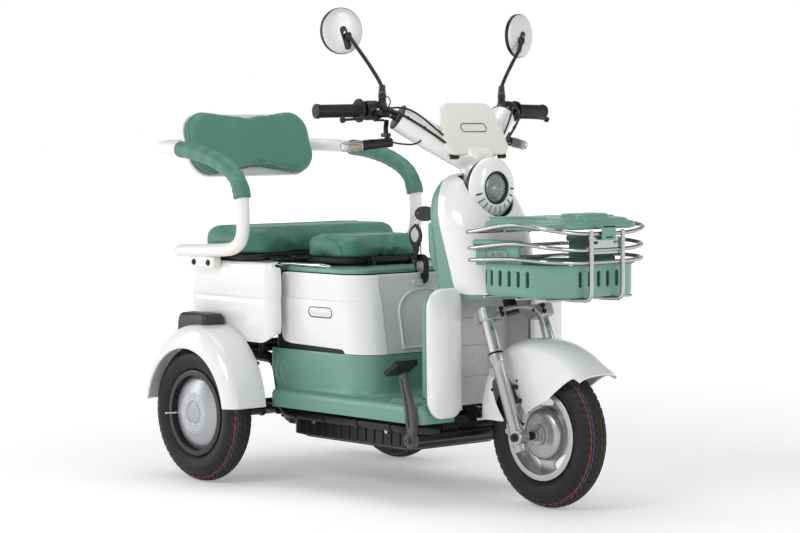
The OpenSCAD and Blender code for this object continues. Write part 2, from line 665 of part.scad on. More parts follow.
module front_fender() color(white) translate([wheelbase, 0, wheel_z]) difference() {
  union() {
    side_plate(-52, 52) front_arc(fender_r);
    side_plate(-60, 60) front_arc(fender_r - 10);
  }
  side_plate(-56, 56) circle(r = fender_r - 13, $fn = 180);
  side_plate(-48, 48) circle(r = fender_r - 4, $fn = 180);
  side_plate(-90, 90) rotate(-6) translate([-300, -200]) square([600, 230]);
  // Open front half of the side skirts
  side_plate(-90, 90) circle(r = 120);
  for (s = [-1, 1]) side_plate(s > 0 ? 49 : -90, s > 0 ? 90 : -49)
    polygon([[-40, -40], [200, 160], [300, 100], [300, -60]]);
}
module front_tyre() color(black) translate([wheelbase, 0, wheel_z]) tyre();
module front_rim() color(silver) translate([wheelbase, 0, wheel_z]) difference() {
  union() {
    rim_barrel();
    along_y(0, 0, -6, 6, rim_r - 6);
    along_y(0, 0, -30, 30, 62);
    along_y(0, 0, -58, 58, 26);
  }
  for (i = [0 : 5]) rotate([0, i * 60, 0]) translate([84, 0, 0]) along_y(0, 0, -20, 20, 15);
  along_y(0, 0, -70, 70, front_axle_r + run);
}

// ---------------------------------------------------------------- brake pedal
module brake_pedal() color(dark_grey) {
  difference() {
    along_y(pedal_x, pedal_z, pedal_y + 2, pedal_y + 24, 18);
    along_y(pedal_x, pedal_z, pedal_y - 10, 0, 10 + run);
  }
  side_plate(pedal_y + 4, pedal_y + 20) polygon([[746, 188], [764, 188], [756, 240],
    [742, 290], [732, 345], [712, 345], [722, 290], [736, 240]]);
  translate([718, pedal_y + 12, 352]) rotate([0, -33, 0])
    block(-30, 30, -36, 36, -6, 8);
}

place() main_frame();
place() under_tray();
place() floor_panel();
place() inner_shield();
place() seat_box();
place() seat_deck();
place() rear_body();
place() tail_lamps();
place() rear_fenders();
place() fender_caps();
place() leg_shield();
place() column_front_cover();
place() column_rear_cover();
place() headlight_housing();
place() headlight_lens();
place() basket_tray();
place() basket_frame();
place() armrest_frame();
place() armrest_sleeves();
place() backrest_shell();
place() backrest_cushion();
place() ignition_lock();
place() axle_carrier();
place() shock_springs();
place() rear_tyre_left();
place() rear_rim_left();
place() rear_tyre_right();
place() rear_rim_right();
place() steering_stem();
place() stem_cover();
place() cowl_plate();
place() handlebar();
place() left_grip();
place() throttle_grip();
place() control_housings();
place() brake_lever_left();
place() brake_lever_right();
place() indicators();
place() indicator_lenses();
place() horn_button();
place() mode_button();
place() light_button();
place() cables();
place() mirror_stem_left();
place() mirror_stem_right();
place() mirror_head_left();
place() mirror_head_right();
place() fork_stanchions();
place() fork_lowers();
place() front_fender();
place() front_axle();
place() front_tyre();
place() front_rim();
place() front_seat_base();
place() front_seat_cushion();
place() rear_seat_base();
place() rear_seat_cushion();
place() basket_lid();
place() key();
place() brake_pedal();
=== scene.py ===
"""Looks of the adult tricycle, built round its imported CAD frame.

Points are in millimetres from the rear axle: x forward, y to the rider's left, z up
from the ground. metres() moves them into the row frame, whose origin is under the
middle of the vehicle.
"""

import math

import bmesh
import bpy
import numpy as np
from mathutils import Matrix, Vector


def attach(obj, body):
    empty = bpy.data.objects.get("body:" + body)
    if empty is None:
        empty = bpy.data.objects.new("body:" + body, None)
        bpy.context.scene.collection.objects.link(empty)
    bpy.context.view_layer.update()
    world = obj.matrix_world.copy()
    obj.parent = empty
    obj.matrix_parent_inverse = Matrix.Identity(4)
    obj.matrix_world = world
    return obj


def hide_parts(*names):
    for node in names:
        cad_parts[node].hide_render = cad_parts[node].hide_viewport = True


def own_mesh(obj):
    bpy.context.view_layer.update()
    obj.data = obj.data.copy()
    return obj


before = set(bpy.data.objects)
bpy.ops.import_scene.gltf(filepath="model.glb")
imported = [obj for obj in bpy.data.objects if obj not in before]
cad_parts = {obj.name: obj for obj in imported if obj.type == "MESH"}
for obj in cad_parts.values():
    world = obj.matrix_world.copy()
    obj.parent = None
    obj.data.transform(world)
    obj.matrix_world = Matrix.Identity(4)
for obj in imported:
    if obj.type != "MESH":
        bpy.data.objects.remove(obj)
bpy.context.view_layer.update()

MID_X = 440.0            # the row frame's origin, ahead of the rear axle
RAKE = math.radians(21)  # lean of the steering axis
YOKE = (848.0, 0.0, 490.0)
WHEEL_Z = 187.0
WHEELBASE = 979.0
TAU = 2 * math.pi


# ------------------------------------------------------------------ geometry kit
def metres(points):
    p = np.array(points, float).reshape(-1, 3)
    p[:, 0] -= MID_X
    return p * 0.001


def unit(v):
    v = np.asarray(v, float)
    return v / max(np.linalg.norm(v), 1e-12)


class Shape:
    """Vertices in millimetres, faces, and a material number for each face."""

    def __init__(self, verts=(), faces=(), mat=0):
        self.v = np.array(verts, float).reshape(-1, 3)
        self.f = [tuple(f) for f in faces]
        self.m = [mat] * len(self.f)

    def __add__(self, other):
        made = Shape(np.vstack([self.v, other.v]))
        shift = len(self.v)
        made.f = self.f + [tuple(i + shift for i in f) for f in other.f]
        made.m = self.m + other.m
        return made

    def paint(self, mat):
        self.m = [mat] * len(self.f)
        return self

    def moved(self, by):
        made = Shape(self.v + np.array(by, float))
        made.f, made.m = list(self.f), list(self.m)
        return made

    def through(self, matrix):
        """Each vertex multiplied by a 4x4 matrix."""
        m = np.array(matrix, float)
        made = Shape(self.v @ m[:3, :3].T + m[:3, 3])
        made.f, made.m = list(self.f), list(self.m)
        return made

    def mirrored(self):
        made = Shape(self.v * [1, -1, 1])
        made.f = [tuple(reversed(f)) for f in self.f]
        made.m = list(self.m)
        return made

    def both(self):
        return self + self.mirrored()


def join(shapes):
    made = Shape()
    for s in shapes:
        made = made + s
    return made


def soft(points, times=3):
    """Chaikin corner cutting, the ends kept."""
    p = np.array(points, float)
    for _ in range(times):
        a = p[:-1] * 0.75 + p[1:] * 0.25
        b = p[:-1] * 0.25 + p[1:] * 0.75
        inner = np.empty((2 * len(a), p.shape[1]))
        inner[0::2], inner[1::2] = a, b
        p = np.vstack([p[:1], inner, p[-1:]])
    return p


def bend(points, radius, steps=8):
    """Polyline whose corners are replaced by arcs."""
    p = [np.array(q, float) for q in points]
    made = [p[0]]
    for a, b, c in zip(p, p[1:], p[2:]):
        u, w = unit(a - b), unit(c - b)
        angle = math.acos(np.clip(np.dot(u, w), -1, 1))
        reach = radius / max(math.tan(angle / 2), 1e-6)
        reach = min(reach, 0.48 * np.linalg.norm(a - b), 0.48 * np.linalg.norm(c - b))
        start, end = b + u * reach, b + w * reach
        for i in range(steps + 1):
            t = i / steps
            made.append((1 - t) ** 2 * start + 2 * t * (1 - t) * b + t * t * end)
    made.append(p[-1])
    return np.array(made)


def resample(points, n):
    """n points equally spaced along a polyline."""
    p = np.array(points, float)
    d = np.concatenate([[0], np.cumsum(np.linalg.norm(np.diff(p, axis=0), axis=1))])
    t = np.linspace(0, d[-1], n)
    return np.stack([np.interp(t, d, p[:, k]) for k in range(p.shape[1])], axis=1)


def mirror_path(path):
    """A path that ends on the centre plane, followed by its mirror image."""
    p = np.array(path, float)
    return np.vstack([p, (p[:-1] * [1, -1, 1])[::-1]])


def grid_faces(rows, cols, wrap_rows=False, wrap_cols=False):
    faces = []
    for i in range(rows if wrap_rows else rows - 1):
        for j in range(cols if wrap_cols else cols - 1):
            a, b = i * cols + j, i * cols + (j + 1) % cols
            c, d = ((i + 1) % rows) * cols + (j + 1) % cols, ((i + 1) % rows) * cols + j
            faces.append((a, b, c, d))
    return faces


def loft(rings, caps=True, closed=True):
    """Skin over rings of equal point count, with flat ends."""
    rings = [np.array(r, float) for r in rings]
    n = len(rings[0])
    made = Shape(np.vstack(rings), grid_faces(len(rings), n, wrap_cols=closed))
    if caps and closed:
        last = (len(rings) - 1) * n
        made.f += [tuple(range(n - 1, -1, -1)), tuple(last + k for k in range(n))]
        made.m += [0, 0]
    return made


def frames_along(path):
    """Tangents and two normals that don't twist along a path."""
    p = np.array(path, float)
    t = np.gradient(p, axis=0)
    t = np.array([unit(v) for v in t])
    n = np.array([0, 0, 1.0]) if abs(t[0][2]) < 0.9 else np.array([1.0, 0, 0])
    normals = []
    for v in t:
        n = unit(n - v * np.dot(n, v))
        normals.append(n)
    normals = np.array(normals)
    return p, t, normals, np.cross(t, normals)


def tube(path, radius, sides=20, edge=0.0, flat=1.0, closed=False):
    """Tube along a path; radius is one value or one per point, edge rounds the ends."""
    p, t, n, b = frames_along(path)
    r = np.full(len(p), float(radius)) if np.isscalar(radius) else np.array(radius, float)
    if closed:
        t[0] = t[-1] = unit(p[1] - p[-2])
    stations = [(p[i], n[i], b[i], r[i]) for i in range(len(p))]
    if edge > 0 and not closed:
        first, last = stations[0], stations[-1]
        head, tail = [], []
        for a in np.linspace(0, math.pi / 2, 5)[1:]:
            back, less = edge * math.sin(a), edge * (1 - math.cos(a))
            head.insert(0, (first[0] - t[0] * back, first[1], first[2], first[3] - less))
            tail.append((last[0] + t[-1] * back, last[1], last[2], last[3] - less))
        stations = head + stations + tail
    angles = np.arange(sides) * TAU / sides
    rings = [c + rr * (np.outer(np.cos(angles), nn) + flat * np.outer(np.sin(angles), bb))
             for c, nn, bb, rr in stations]
    if closed:
        made = Shape(np.vstack(rings), grid_faces(len(rings), sides, True, True))
        return made
    return loft(rings)


def basis(axis, up=None):
    """Rotation whose third column is axis."""
    w = unit(axis)
    helper = np.array(up if up is not None else ([0, 0, 1] if abs(w[2]) < 0.9 else [1, 0, 0]), float)
    u = unit(helper - w * np.dot(helper, w))
    return np.stack([u, np.cross(w, u), w], axis=1)


def lathe(profile, centre, axis, steps=64, closed=False, up=None):
    """Profile of (radius, distance along the axis) turned about the axis."""
    r = basis(axis, up)
    rings = []
    for a in np.arange(steps) * TAU / steps:
        flat = np.array([[q * math.cos(a), q * math.sin(a), h] for q, h in profile])
        rings.append(flat @ r.T + np.array(centre, float))
    return Shape(np.vstack(rings), grid_faces(steps, len(profile), True, closed))


def rounded(x0, x1, y0, y1, radii, per_corner=8):
    """Rounded rectangle, anticlockwise from the lower right corner; radii is one or four."""
    rr = [radii] * 4 if np.isscalar(radii) else list(radii)
    corners = [(x1, y0, -90), (x1, y1, 0), (x0, y1, 90), (x0, y0, 180)]
    made = []
    for (cx, cy, start), r in zip(corners, rr):
        r = max(r, 0.01)
        ox = cx - r if cx == x1 else cx + r
        oy = cy - r if cy == y1 else cy + r
        for a in np.linspace(start, start + 90, per_corner + 1):
            made.append((ox + r * math.cos(math.radians(a)), oy + r * math.sin(math.radians(a))))
    return np.array(made)


def inset(outline, d):
    """A closed outline moved inwards by d along its averaged normals."""
    p = np.array(outline, float)
    before, after = np.roll(p, 1, axis=0), np.roll(p, -1, axis=0)
    e1 = np.array([unit(v) if np.linalg.norm(v) > 1e-9 else v for v in p - before])
    e2 = np.array([unit(v) if np.linalg.norm(v) > 1e-9 else v for v in after - p])
    n = np.stack([-(e1[:, 1] + e2[:, 1]), e1[:, 0] + e2[:, 0]], axis=1)
    length = np.linalg.norm(n, axis=1, keepdims=True)
    n = n / np.maximum(length, 1e-9)
    area = 0.5 * np.sum(p[:, 0] * after[:, 1] - after[:, 0] * p[:, 1])
    grow = 1 / np.clip(length[:, 0] / 2, 0.5, 1)
    return p + n * (d * grow * np.sign(area))[:, None]


def on_plane(outline, axis, height):
    """An outline laid across an axis: x takes (y, z), y takes (x, z), z takes (x, y)."""
    p = np.array(outline, float)
    h = np.full(len(p), float(height))
    if axis == "z":
        return np.stack([p[:, 0], p[:, 1], h], axis=1)
    if axis == "y":
        return np.stack([p[:, 0], h, p[:, 1]], axis=1)
    return np.stack([h, p[:, 0], p[:, 1]], axis=1)


def prism(outline, axis, low, high, edge=1.5, steps=3):
    """Extruded outline with its rims rounded off."""
    rings = []
    for a in np.linspace(0, math.pi / 2, steps + 1):
        rings.append(on_plane(inset(outline, edge * (1 - math.sin(a))), axis,
                              low + edge * (1 - math.cos(a))))
    for a in np.linspace(math.pi / 2, 0, steps + 1):
        rings.append(on_plane(inset(outline, edge * (1 - math.sin(a))), axis,
                              high - edge * (1 - math.cos(a))))
    return loft(rings)


def box(x0, x1, y0, y1, z0, z1, edge=2.0):
    return prism(rounded(x0, x1, y0, y1, edge * 1.2, 3), "z", z0, z1, edge)


def bolt(centre, axis, radius, height, socket=True):
    """Screw head with a socket, on a thin washer."""
    head = lathe([(0, 0), (radius * 1.35, 0), (radius * 1.35, height * 0.22),
                  (radius, height * 0.24), (radius, height * 0.85), (radius * 0.86, height),
                  (radius * 0.52, height), (radius * 0.46, height * 0.55), (0, height * 0.5)],
                 centre, axis, 18)
    return head


def hexagon(centre, axis, radius, height):
    r = basis(axis)
    rings = []
    for q, h in ((radius * 0.9, 0), (radius, height * 0.12), (radius, height * 0.85),
                 (radius * 0.86, height)):
        a = np.arange(6) * TAU / 6
        flat = np.stack([q * np.cos(a), q * np.sin(a), np.full(6, h)], axis=1)
        rings.append(flat @ r.T + np.array(centre, float))
    return loft(rings)


# ------------------------------------------------------------------- mesh pieces
def to_object(name, shape, mats):
    mesh = bpy.data.meshes.new(name)
    mesh.from_pydata([tuple(v) for v in metres(shape.v)], [], shape.f)
    for m in mats:
        mesh.materials.append(MAT[m])
    mesh.polygons.foreach_set("material_index", shape.m)
    obj = bpy.data.objects.new(name, mesh)
    bpy.context.scene.collection.objects.link(obj)
    return obj


def tidy_mesh(obj, weld=2e-6):
    bm = bmesh.new()
    bm.from_mesh(obj.data)
    bmesh.ops.remove_doubles(bm, verts=bm.verts, dist=weld)
    bmesh.ops.dissolve_degenerate(bm, edges=bm.edges, dist=weld)
    bmesh.ops.recalc_face_normals(bm, faces=bm.faces)
    bm.to_mesh(obj.data)
    bm.free()


def add_modifier(obj, kind, **values):
    m = obj.modifiers.new(kind.title(), kind)
    for key, value in values.items():
        setattr(m, key, value)
    return m


def settle(obj):
    """Applies every modifier."""
    if not obj.modifiers:
        return
    graph = bpy.context.evaluated_depsgraph_get()
    done = bpy.data.meshes.new_from_object(obj.evaluated_get(graph), depsgraph=graph)
    old = obj.data
    obj.modifiers.clear()
    obj.data = done
    bpy.data.meshes.remove(old)


def cut(obj, cutter, operation="DIFFERENCE"):
    """Boolean with a Shape, applied at once."""
    tool = to_object(obj.name + "_tool", cutter, ["grey_plastic"])
    tool.data.materials.clear()
    tidy_mesh(tool)
    before = obj.data.copy()
    for tolerant, own in ((False, False), (True, False), (True, True)):
        add_modifier(obj, "BOOLEAN", object=tool, operation=operation, solver="EXACT",
                     use_hole_tolerant=tolerant, use_self=own)
        settle(obj)
        if len(obj.data.polygons) > 0.3 * len(before.polygons) or operation == "INTERSECT":
            break
        obj.data = before.copy()
    bpy.data.meshes.remove(before)
    bpy.data.objects.remove(tool)


def window(obj, low, high):
    """Open a sheet: split it along the sides of a box and drop the faces inside."""
    low, high = [(np.array(p, float) - (MID_X, 0, 0)) * 0.001 for p in (low, high)]
    mesh = bmesh.new()
    mesh.from_mesh(obj.data)
    for axis in range(3):
        way = np.eye(3)[axis]
        for corner in (low, high):
            everything = mesh.verts[:] + mesh.edges[:] + mesh.faces[:]
            bmesh.ops.bisect_plane(mesh, geom=everything, plane_co=corner * way, plane_no=way)
    inside = []
    for face in mesh.faces:
        middle = np.array(face.calc_center_median())
        if np.all(middle > low) and np.all(middle < high):
            inside.append(face)
    bmesh.ops.delete(mesh, geom=inside, context="FACES")
    mesh.to_mesh(obj.data)
    mesh.free()


def shade(obj, angle=38, weighted=True):
    for p in obj.data.polygons:
        p.use_smooth = True
    obj.data.set_sharp_from_angle(angle=math.radians(angle))
    if weighted:
        add_modifier(obj, "WEIGHTED_NORMAL", keep_sharp=True, weight=80)
        settle(obj)


def piece(name, shape, mats, body, hides=(), cuts=(), keeps=(), subdivide=0,
          thick=0.0, bevel=0.0, angle=38, weighted=True, even=True, windows=()):
    """One finished piece: mesh, modifiers, shading, body and hidden CAD nodes."""
    mats = [mats] if isinstance(mats, str) else list(mats)
    obj = to_object(name, shape, mats)
    tidy_mesh(obj)
    for low, high in windows:
        window(obj, low, high)
    if thick:
        add_modifier(obj, "SOLIDIFY", thickness=thick * 0.001, offset=-1,
                     use_even_offset=even)
        settle(obj)
    for c in keeps:
        cut(obj, c, "INTERSECT")
    for c in cuts:
        cut(obj, c)
    if bevel:
        add_modifier(obj, "BEVEL", width=bevel * 0.001, segments=2, limit_method="ANGLE",
                     angle_limit=math.radians(40), use_clamp_overlap=True)
    if subdivide:
        add_modifier(obj, "SUBSURF", levels=subdivide, render_levels=subdivide)
    settle(obj)
    shade(obj, angle, weighted)
    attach(obj, body)
    if hides:
        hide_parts(*hides)
    return obj


# --------------------------------------------------------------------- materials
MAT = {}


def nodes_of(name):
    m = bpy.data.materials.new(name)
    m.use_nodes = True
    tree = m.node_tree
    bsdf = tree.nodes["Principled BSDF"]
    place = tree.nodes.new("ShaderNodeTexCoord").outputs["Object"]
    return m, tree, bsdf, place


def noise(tree, place, scale, detail=3.0, rough=0.55):
    n = tree.nodes.new("ShaderNodeTexNoise")
    n.inputs["Scale"].default_value = scale
    n.inputs["Detail"].default_value = detail
    n.inputs["Roughness"].default_value = rough
    tree.links.new(place, n.inputs["Vector"])
    return n.outputs["Fac"]


def spread(tree, value, low, high):
    m = tree.nodes.new("ShaderNodeMapRange")
    m.inputs["From Min"].default_value = 0.3
    m.inputs["From Max"].default_value = 0.7
    m.inputs["To Min"].default_value = low
    m.inputs["To Max"].default_value = high
    tree.links.new(value, m.inputs["Value"])
    return m.outputs["Result"]


def two_tone(tree, value, dark, light):
    ramp = tree.nodes.new("ShaderNodeValToRGB")
    ramp.color_ramp.elements[0].position = 0.3
    ramp.color_ramp.elements[1].position = 0.7
    ramp.color_ramp.elements[0].color = (*dark, 1)
    ramp.color_ramp.elements[1].color = (*light, 1)
    tree.links.new(value, ramp.inputs["Fac"])
    return ramp.outputs["Color"]


def bump(tree, bsdf, height, strength, distance, normal=None):
    b = tree.nodes.new("ShaderNodeBump")
    b.inputs["Strength"].default_value = strength
    b.inputs["Distance"].default_value = distance
    tree.links.new(height, b.inputs["Height"])
    if normal is not None:
        tree.links.new(normal, b.inputs["Normal"])
    if bsdf is not None:
        tree.links.new(b.outputs["Normal"], bsdf.inputs["Normal"])
    return b.outputs["Normal"]


def tinted(colour, by):
    return tuple(min(1.0, c * by) for c in colour)


def finish_of(name, colour, rough, vary=0.04, blotch=7.0, grain=900.0, depth=0.00006,
              rough_vary=0.05, **sockets):
    """Smooth solid finish: soft colour blotches, uneven gloss and a fine surface grain."""
    m, tree, bsdf, place = nodes_of(name)
    broad = noise(tree, place, blotch)
    tone = two_tone(tree, broad, tinted(colour, 1 - vary), tinted(colour, 1 + vary))
    tree.links.new(tone, bsdf.inputs["Base Color"])
    smear = noise(tree, place, blotch * 4.3, 5.0, 0.7)
    gloss = spread(tree, smear, max(0.02, rough - rough_vary), rough + rough_vary)
    tree.links.new(gloss, bsdf.inputs["Roughness"])
    fine = noise(tree, place, grain, 2.0)
    bump(tree, bsdf, fine, 0.35, depth)
    for key, value in sockets.items():
        bsdf.inputs[key.replace("_", " ")].default_value = value
    MAT[name] = m
    return m, tree, bsdf, place


def worn(tree, bsdf, tone_to, low=0.52, high=0.62):
    """Lighter, rubbed convex edges."""
    geo = tree.nodes.new("ShaderNodeNewGeometry")
    mask = tree.nodes.new("ShaderNodeMapRange")
    mask.inputs["From Min"].default_value = low
    mask.inputs["From Max"].default_value = high
    tree.links.new(geo.outputs["Pointiness"], mask.inputs["Value"])
    mix = tree.nodes.new("ShaderNodeMix")
    mix.data_type = "RGBA"
    source = bsdf.inputs["Base Color"].links[0].from_socket
    tree.links.new(mask.outputs["Result"], mix.inputs["Factor"])
    tree.links.new(source, mix.inputs["A"])
    mix.inputs["B"].default_value = (*tone_to, 1)
    tree.links.new(mix.outputs["Result"], bsdf.inputs["Base Color"])


def leather(name, colour, cell=620.0):
    """Coated leather: pebbled grain, darker in its creases."""
    m, tree, bsdf, place = nodes_of(name)
    warp = noise(tree, place, 160.0, 2.0)
    shift = tree.nodes.new("ShaderNodeVectorMath")
    shift.operation = "MULTIPLY_ADD"
    shift.inputs[1].default_value = (0.004, 0.004, 0.004)
    tree.links.new(warp, shift.inputs[0])
    tree.links.new(place, shift.inputs[2])
    pebble = tree.nodes.new("ShaderNodeTexVoronoi")
    pebble.feature = "SMOOTH_F1"
    pebble.inputs["Scale"].default_value = cell
    tree.links.new(shift.outputs["Vector"], pebble.inputs["Vector"])
    broad = noise(tree, place, 9.0, 4.0)
    tone = two_tone(tree, broad, tinted(colour, 0.93), tinted(colour, 1.06))
    crease = tree.nodes.new("ShaderNodeMapRange")
    crease.inputs["From Min"].default_value = 0.1
    crease.inputs["From Max"].default_value = 0.75
    crease.inputs["To Max"].default_value = 0.22
    tree.links.new(pebble.outputs["Distance"], crease.inputs["Value"])
    mix = tree.nodes.new("ShaderNodeMix")
    mix.data_type = "RGBA"
    tree.links.new(crease.outputs["Result"], mix.inputs["Factor"])
    tree.links.new(tone, mix.inputs["A"])
    mix.inputs["B"].default_value = (*tinted(colour, 0.62), 1)
    tree.links.new(mix.outputs["Result"], bsdf.inputs["Base Color"])
    gloss = spread(tree, noise(tree, place, 30.0, 5.0), 0.4, 0.52)
    tree.links.new(gloss, bsdf.inputs["Roughness"])
    first = bump(tree, None, pebble.outputs["Distance"], 0.28, -0.0003)
    bump(tree, bsdf, noise(tree, place, 1500.0, 2.0), 0.12, 0.0002, first)
    bsdf.inputs["Sheen Weight"].default_value = 0.08
    MAT[name] = m


def tread_rubber():
    """Rubber with a dusty brown bloom on the tread."""
    m, tree, bsdf, place = finish_of("tyre_rubber", (0.011, 0.0105, 0.0105), 0.5, 0.12, 26.0,
                                     1400.0, 0.00016, 0.1, Specular_IOR_Level=0.3)
    MAT["tyre_rubber"] = m
    m, tree, bsdf, place = finish_of("tyre_tread", (0.020, 0.0165, 0.0145), 0.66, 0.3, 34.0,
                                     1100.0, 0.0002, 0.1, Specular_IOR_Level=0.3)
    worn(tree, bsdf, (0.07, 0.056, 0.046), 0.5, 0.66)
    MAT["tyre_tread"] = m


WHITE = (0.80, 0.80, 0.785)
GREEN = (0.138, 0.300, 0.232)
LEATHER = (0.070, 0.225, 0.160)


def make_materials():
    finish_of("white_cover", WHITE, 0.17, 0.012, 4.0, 300.0, 0.00003, 0.05,
              Coat_Weight=0.55, Coat_Roughness=0.06)
    # The grey white below is painted shade: white panels that face away from the light or sit in recesses are coloured
    # darker instead of being lit darker.
    finish_of("white_painted_shade", (0.68, 0.67, 0.655), 0.3, 0.02, 4.0, 420.0, 0.00004, 0.06)
    finish_of("cream_cover", (0.74, 0.725, 0.675), 0.22, 0.015, 5.0, 300.0, 0.00003, 0.05,
              Coat_Weight=0.4, Coat_Roughness=0.08)
    finish_of("green_cover", GREEN, 0.34, 0.03, 5.0, 1250.0, 0.00009, 0.06,
              Coat_Weight=0.12, Coat_Roughness=0.3)
    finish_of("white_tube", (0.80, 0.795, 0.77), 0.24, 0.015, 6.0, 500.0, 0.00005, 0.05,
              Coat_Weight=0.4, Coat_Roughness=0.1)
    leather("green_leather", LEATHER)
    leather("green_wrap", (0.060, 0.190, 0.140), 780.0)
    finish_of("green_thread", (0.045, 0.150, 0.105), 0.7, 0.1, 300.0, 2600.0, 0.0001)
    finish_of("black_plastic", (0.010, 0.010, 0.0105), 0.36, 0.1, 9.0, 1300.0, 0.00012, 0.08,
              Specular_IOR_Level=0.36)
    finish_of("grip_rubber", (0.009, 0.009, 0.0095), 0.46, 0.1, 14.0, 1700.0, 0.00014, 0.08,
              Specular_IOR_Level=0.32)
    finish_of("grey_plastic", (0.022, 0.022, 0.024), 0.42, 0.06, 7.0, 1500.0, 0.00012, 0.07)
    m, tree, bsdf, _ = finish_of("black_steel", (0.009, 0.0085, 0.0085), 0.34, 0.12, 11.0, 700.0,
                                 0.0001, 0.1, Metallic=0.2)
    worn(tree, bsdf, (0.07, 0.066, 0.062), 0.54, 0.68)
    finish_of("pedal_steel", (0.085, 0.078, 0.075), 0.36, 0.1, 16.0, 900.0, 0.0001, 0.08,
              Metallic=0.35)
    finish_of("silver_paint", (0.44, 0.44, 0.44), 0.3, 0.03, 12.0, 2200.0, 0.00008, 0.06,
              Metallic=0.75)
    finish_of("hub_silver", (0.40, 0.41, 0.43), 0.34, 0.03, 10.0, 2600.0, 0.00008, 0.05,
              Metallic=0.7)
    m, tree, bsdf, _ = finish_of("cast_alloy", (0.47, 0.47, 0.465), 0.36, 0.05, 15.0, 900.0,
                                 0.00012, 0.07, Metallic=0.85)
    worn(tree, bsdf, (0.66, 0.66, 0.65), 0.55, 0.7)
    finish_of("chrome_steel", (0.78, 0.78, 0.79), 0.09, 0.02, 20.0, 900.0, 0.00001, 0.03,
              Metallic=1.0)
    finish_of("wire_steel", (0.46, 0.46, 0.465), 0.22, 0.04, 20.0, 900.0, 0.00004, 0.05, Metallic=1.0)
    finish_of("lamp_bowl", (0.05, 0.05, 0.052), 0.12, 0.04, 20.0, 900.0, 0.00002, 0.03, Metallic=0.8)
    finish_of("spring_steel", (0.5, 0.5, 0.5), 0.3, 0.06, 20.0, 900.0, 0.00004, 0.05, Metallic=0.9)
    finish_of("mirror_back", (0.60, 0.605, 0.61), 0.3, 0.02, 8.0, 900.0, 0.00005, 0.05,
              Metallic=0.15, Coat_Weight=0.3)
    finish_of("mirror_glass", (0.82, 0.84, 0.86), 0.03, 0.01, 8.0, 200.0, 0.000004, 0.01,
              Metallic=1.0)
    finish_of("clear_lens", (0.90, 0.92, 0.93), 0.08, 0.01, 9.0, 400.0, 0.00003, 0.03,
              Transmission_Weight=0.85, IOR=1.49)
    finish_of("red_lens", (0.42, 0.012, 0.010), 0.14, 0.04, 9.0, 400.0, 0.00004, 0.03,
              Transmission_Weight=0.25, IOR=1.49, Coat_Weight=0.5)
    finish_of("orange_plastic", (0.78, 0.16, 0.045), 0.36, 0.04, 30.0, 1500.0, 0.00008)
    finish_of("lime_plastic", (0.02, 0.33, 0.16), 0.36, 0.05, 30.0, 1500.0, 0.00008)
    finish_of("amber_lens", (0.70, 0.28, 0.05), 0.2, 0.04, 30.0, 900.0, 0.00004)
    finish_of("rust_wire", (0.14, 0.045, 0.02), 0.5, 0.1, 30.0, 1500.0, 0.00008)
    finish_of("paint_red", (0.30, 0.035, 0.030), 0.6, 0.15, 60.0, 1100.0, 0.0001)
    finish_of("paint_blue", (0.020, 0.085, 0.19), 0.6, 0.15, 60.0, 1100.0, 0.0001)
    finish_of("badge_ink", (0.03, 0.03, 0.032), 0.35, 0.05, 30.0, 900.0, 0.00003)
    finish_of("badge_field", (0.70, 0.70, 0.69), 0.25, 0.02, 30.0, 900.0, 0.00003)
    tread_rubber()


make_materials()


# ------------------------------------------------------------------------ wheels
AROUND = 432             # stations round a tyre
BLOCKS = 54              # tread blocks round a tyre
TYRE_MID = 147.0         # radius of the middle of the tyre's section
TYRE_TUBE = 39.6


def tread_depth(turn, side):
    """Groove depth at a place on the tread; side runs from -1 to 1 across it."""
    s = abs(side)
    phase = turn * BLOCKS / TAU
    zig = 0.045 * (1 if (phase % 1.0) < 0.5 else -1)
    if abs(s - 0.16 - zig) < 0.045 or abs(s - 0.52 - zig) < 0.04:
        return 2.6
    lean = phase + (0.85 * s if side > 0 else 0.85 * s + 0.5)
    share = lean % 1.0
    if s > 0.56:
        return 3.0 if share < 0.26 else 0.0
    if s > 0.22:
        return 2.2 if 0.36 < share < 0.56 else 0.0
    return 1.3 if (phase % 1.0) < 0.16 else 0.0


def tyre(name, centre_y, axle_x, body, node):
    """A tyre with cut tread, two painted lines and ringed side walls."""
    tread_half = math.radians(54)
    tread = list(np.linspace(-tread_half, tread_half, 33))
    wall = list(np.linspace(tread_half, math.radians(151), 16))[1:]
    angles = [-a for a in reversed(wall)] + tread + wall
    turns = np.arange(AROUND) * TAU / AROUND
    rings = []
    for turn in turns:
        ring = []
        for a in angles:
            r = TYRE_TUBE
            if abs(a) <= tread_half:
                r -= tread_depth(turn, a / tread_half)
            else:
                deg = math.degrees(abs(a))
                if 57 < deg < 61:
                    r -= 1.2
                if 84 < deg < 90 or 121 < deg < 126:
                    r += 0.35
                if 104 < deg < 109:
                    r -= 0.9
            q = TYRE_MID + r * math.cos(a)
            h = r * math.sin(a) * 1.004
            ring.append((q * math.sin(turn), h, q * math.cos(turn)))
        rings.append(ring)
    shape = loft(rings, caps=False, closed=False)
    n = len(angles)
    shape.f += [tuple(((AROUND - 1) * n + j, (AROUND - 1) * n + j + 1, j + 1, j)) for j in range(n - 1)]
    shape.m = []
    first = len(wall)
    red_at, blue_at = first + 3, first + 6
    for i in range(AROUND):
        for j in range(n - 1):
            a = abs(0.5 * (angles[j] + angles[j + 1]))
            mat = 1 if a < tread_half else 0
            if j == red_at:
                mat = 2
            if j == blue_at:
                mat = 3
            shape.m.append(mat)
    inner = []
    for a in np.linspace(math.radians(151), math.radians(209), 5):
        inner.append((TYRE_MID + (TYRE_TUBE - 3) * math.cos(a), (TYRE_TUBE - 3) * math.sin(a)))
    bead = lathe(inner, (0, 0, 0), (0, 1, 0), AROUND // 4)
    shape = (shape + bead).moved((axle_x, centre_y, WHEEL_Z))
    return piece(name, shape, ["tyre_rubber", "tyre_tread", "paint_red", "paint_blue"], body,
                 [node], angle=50, weighted=False)


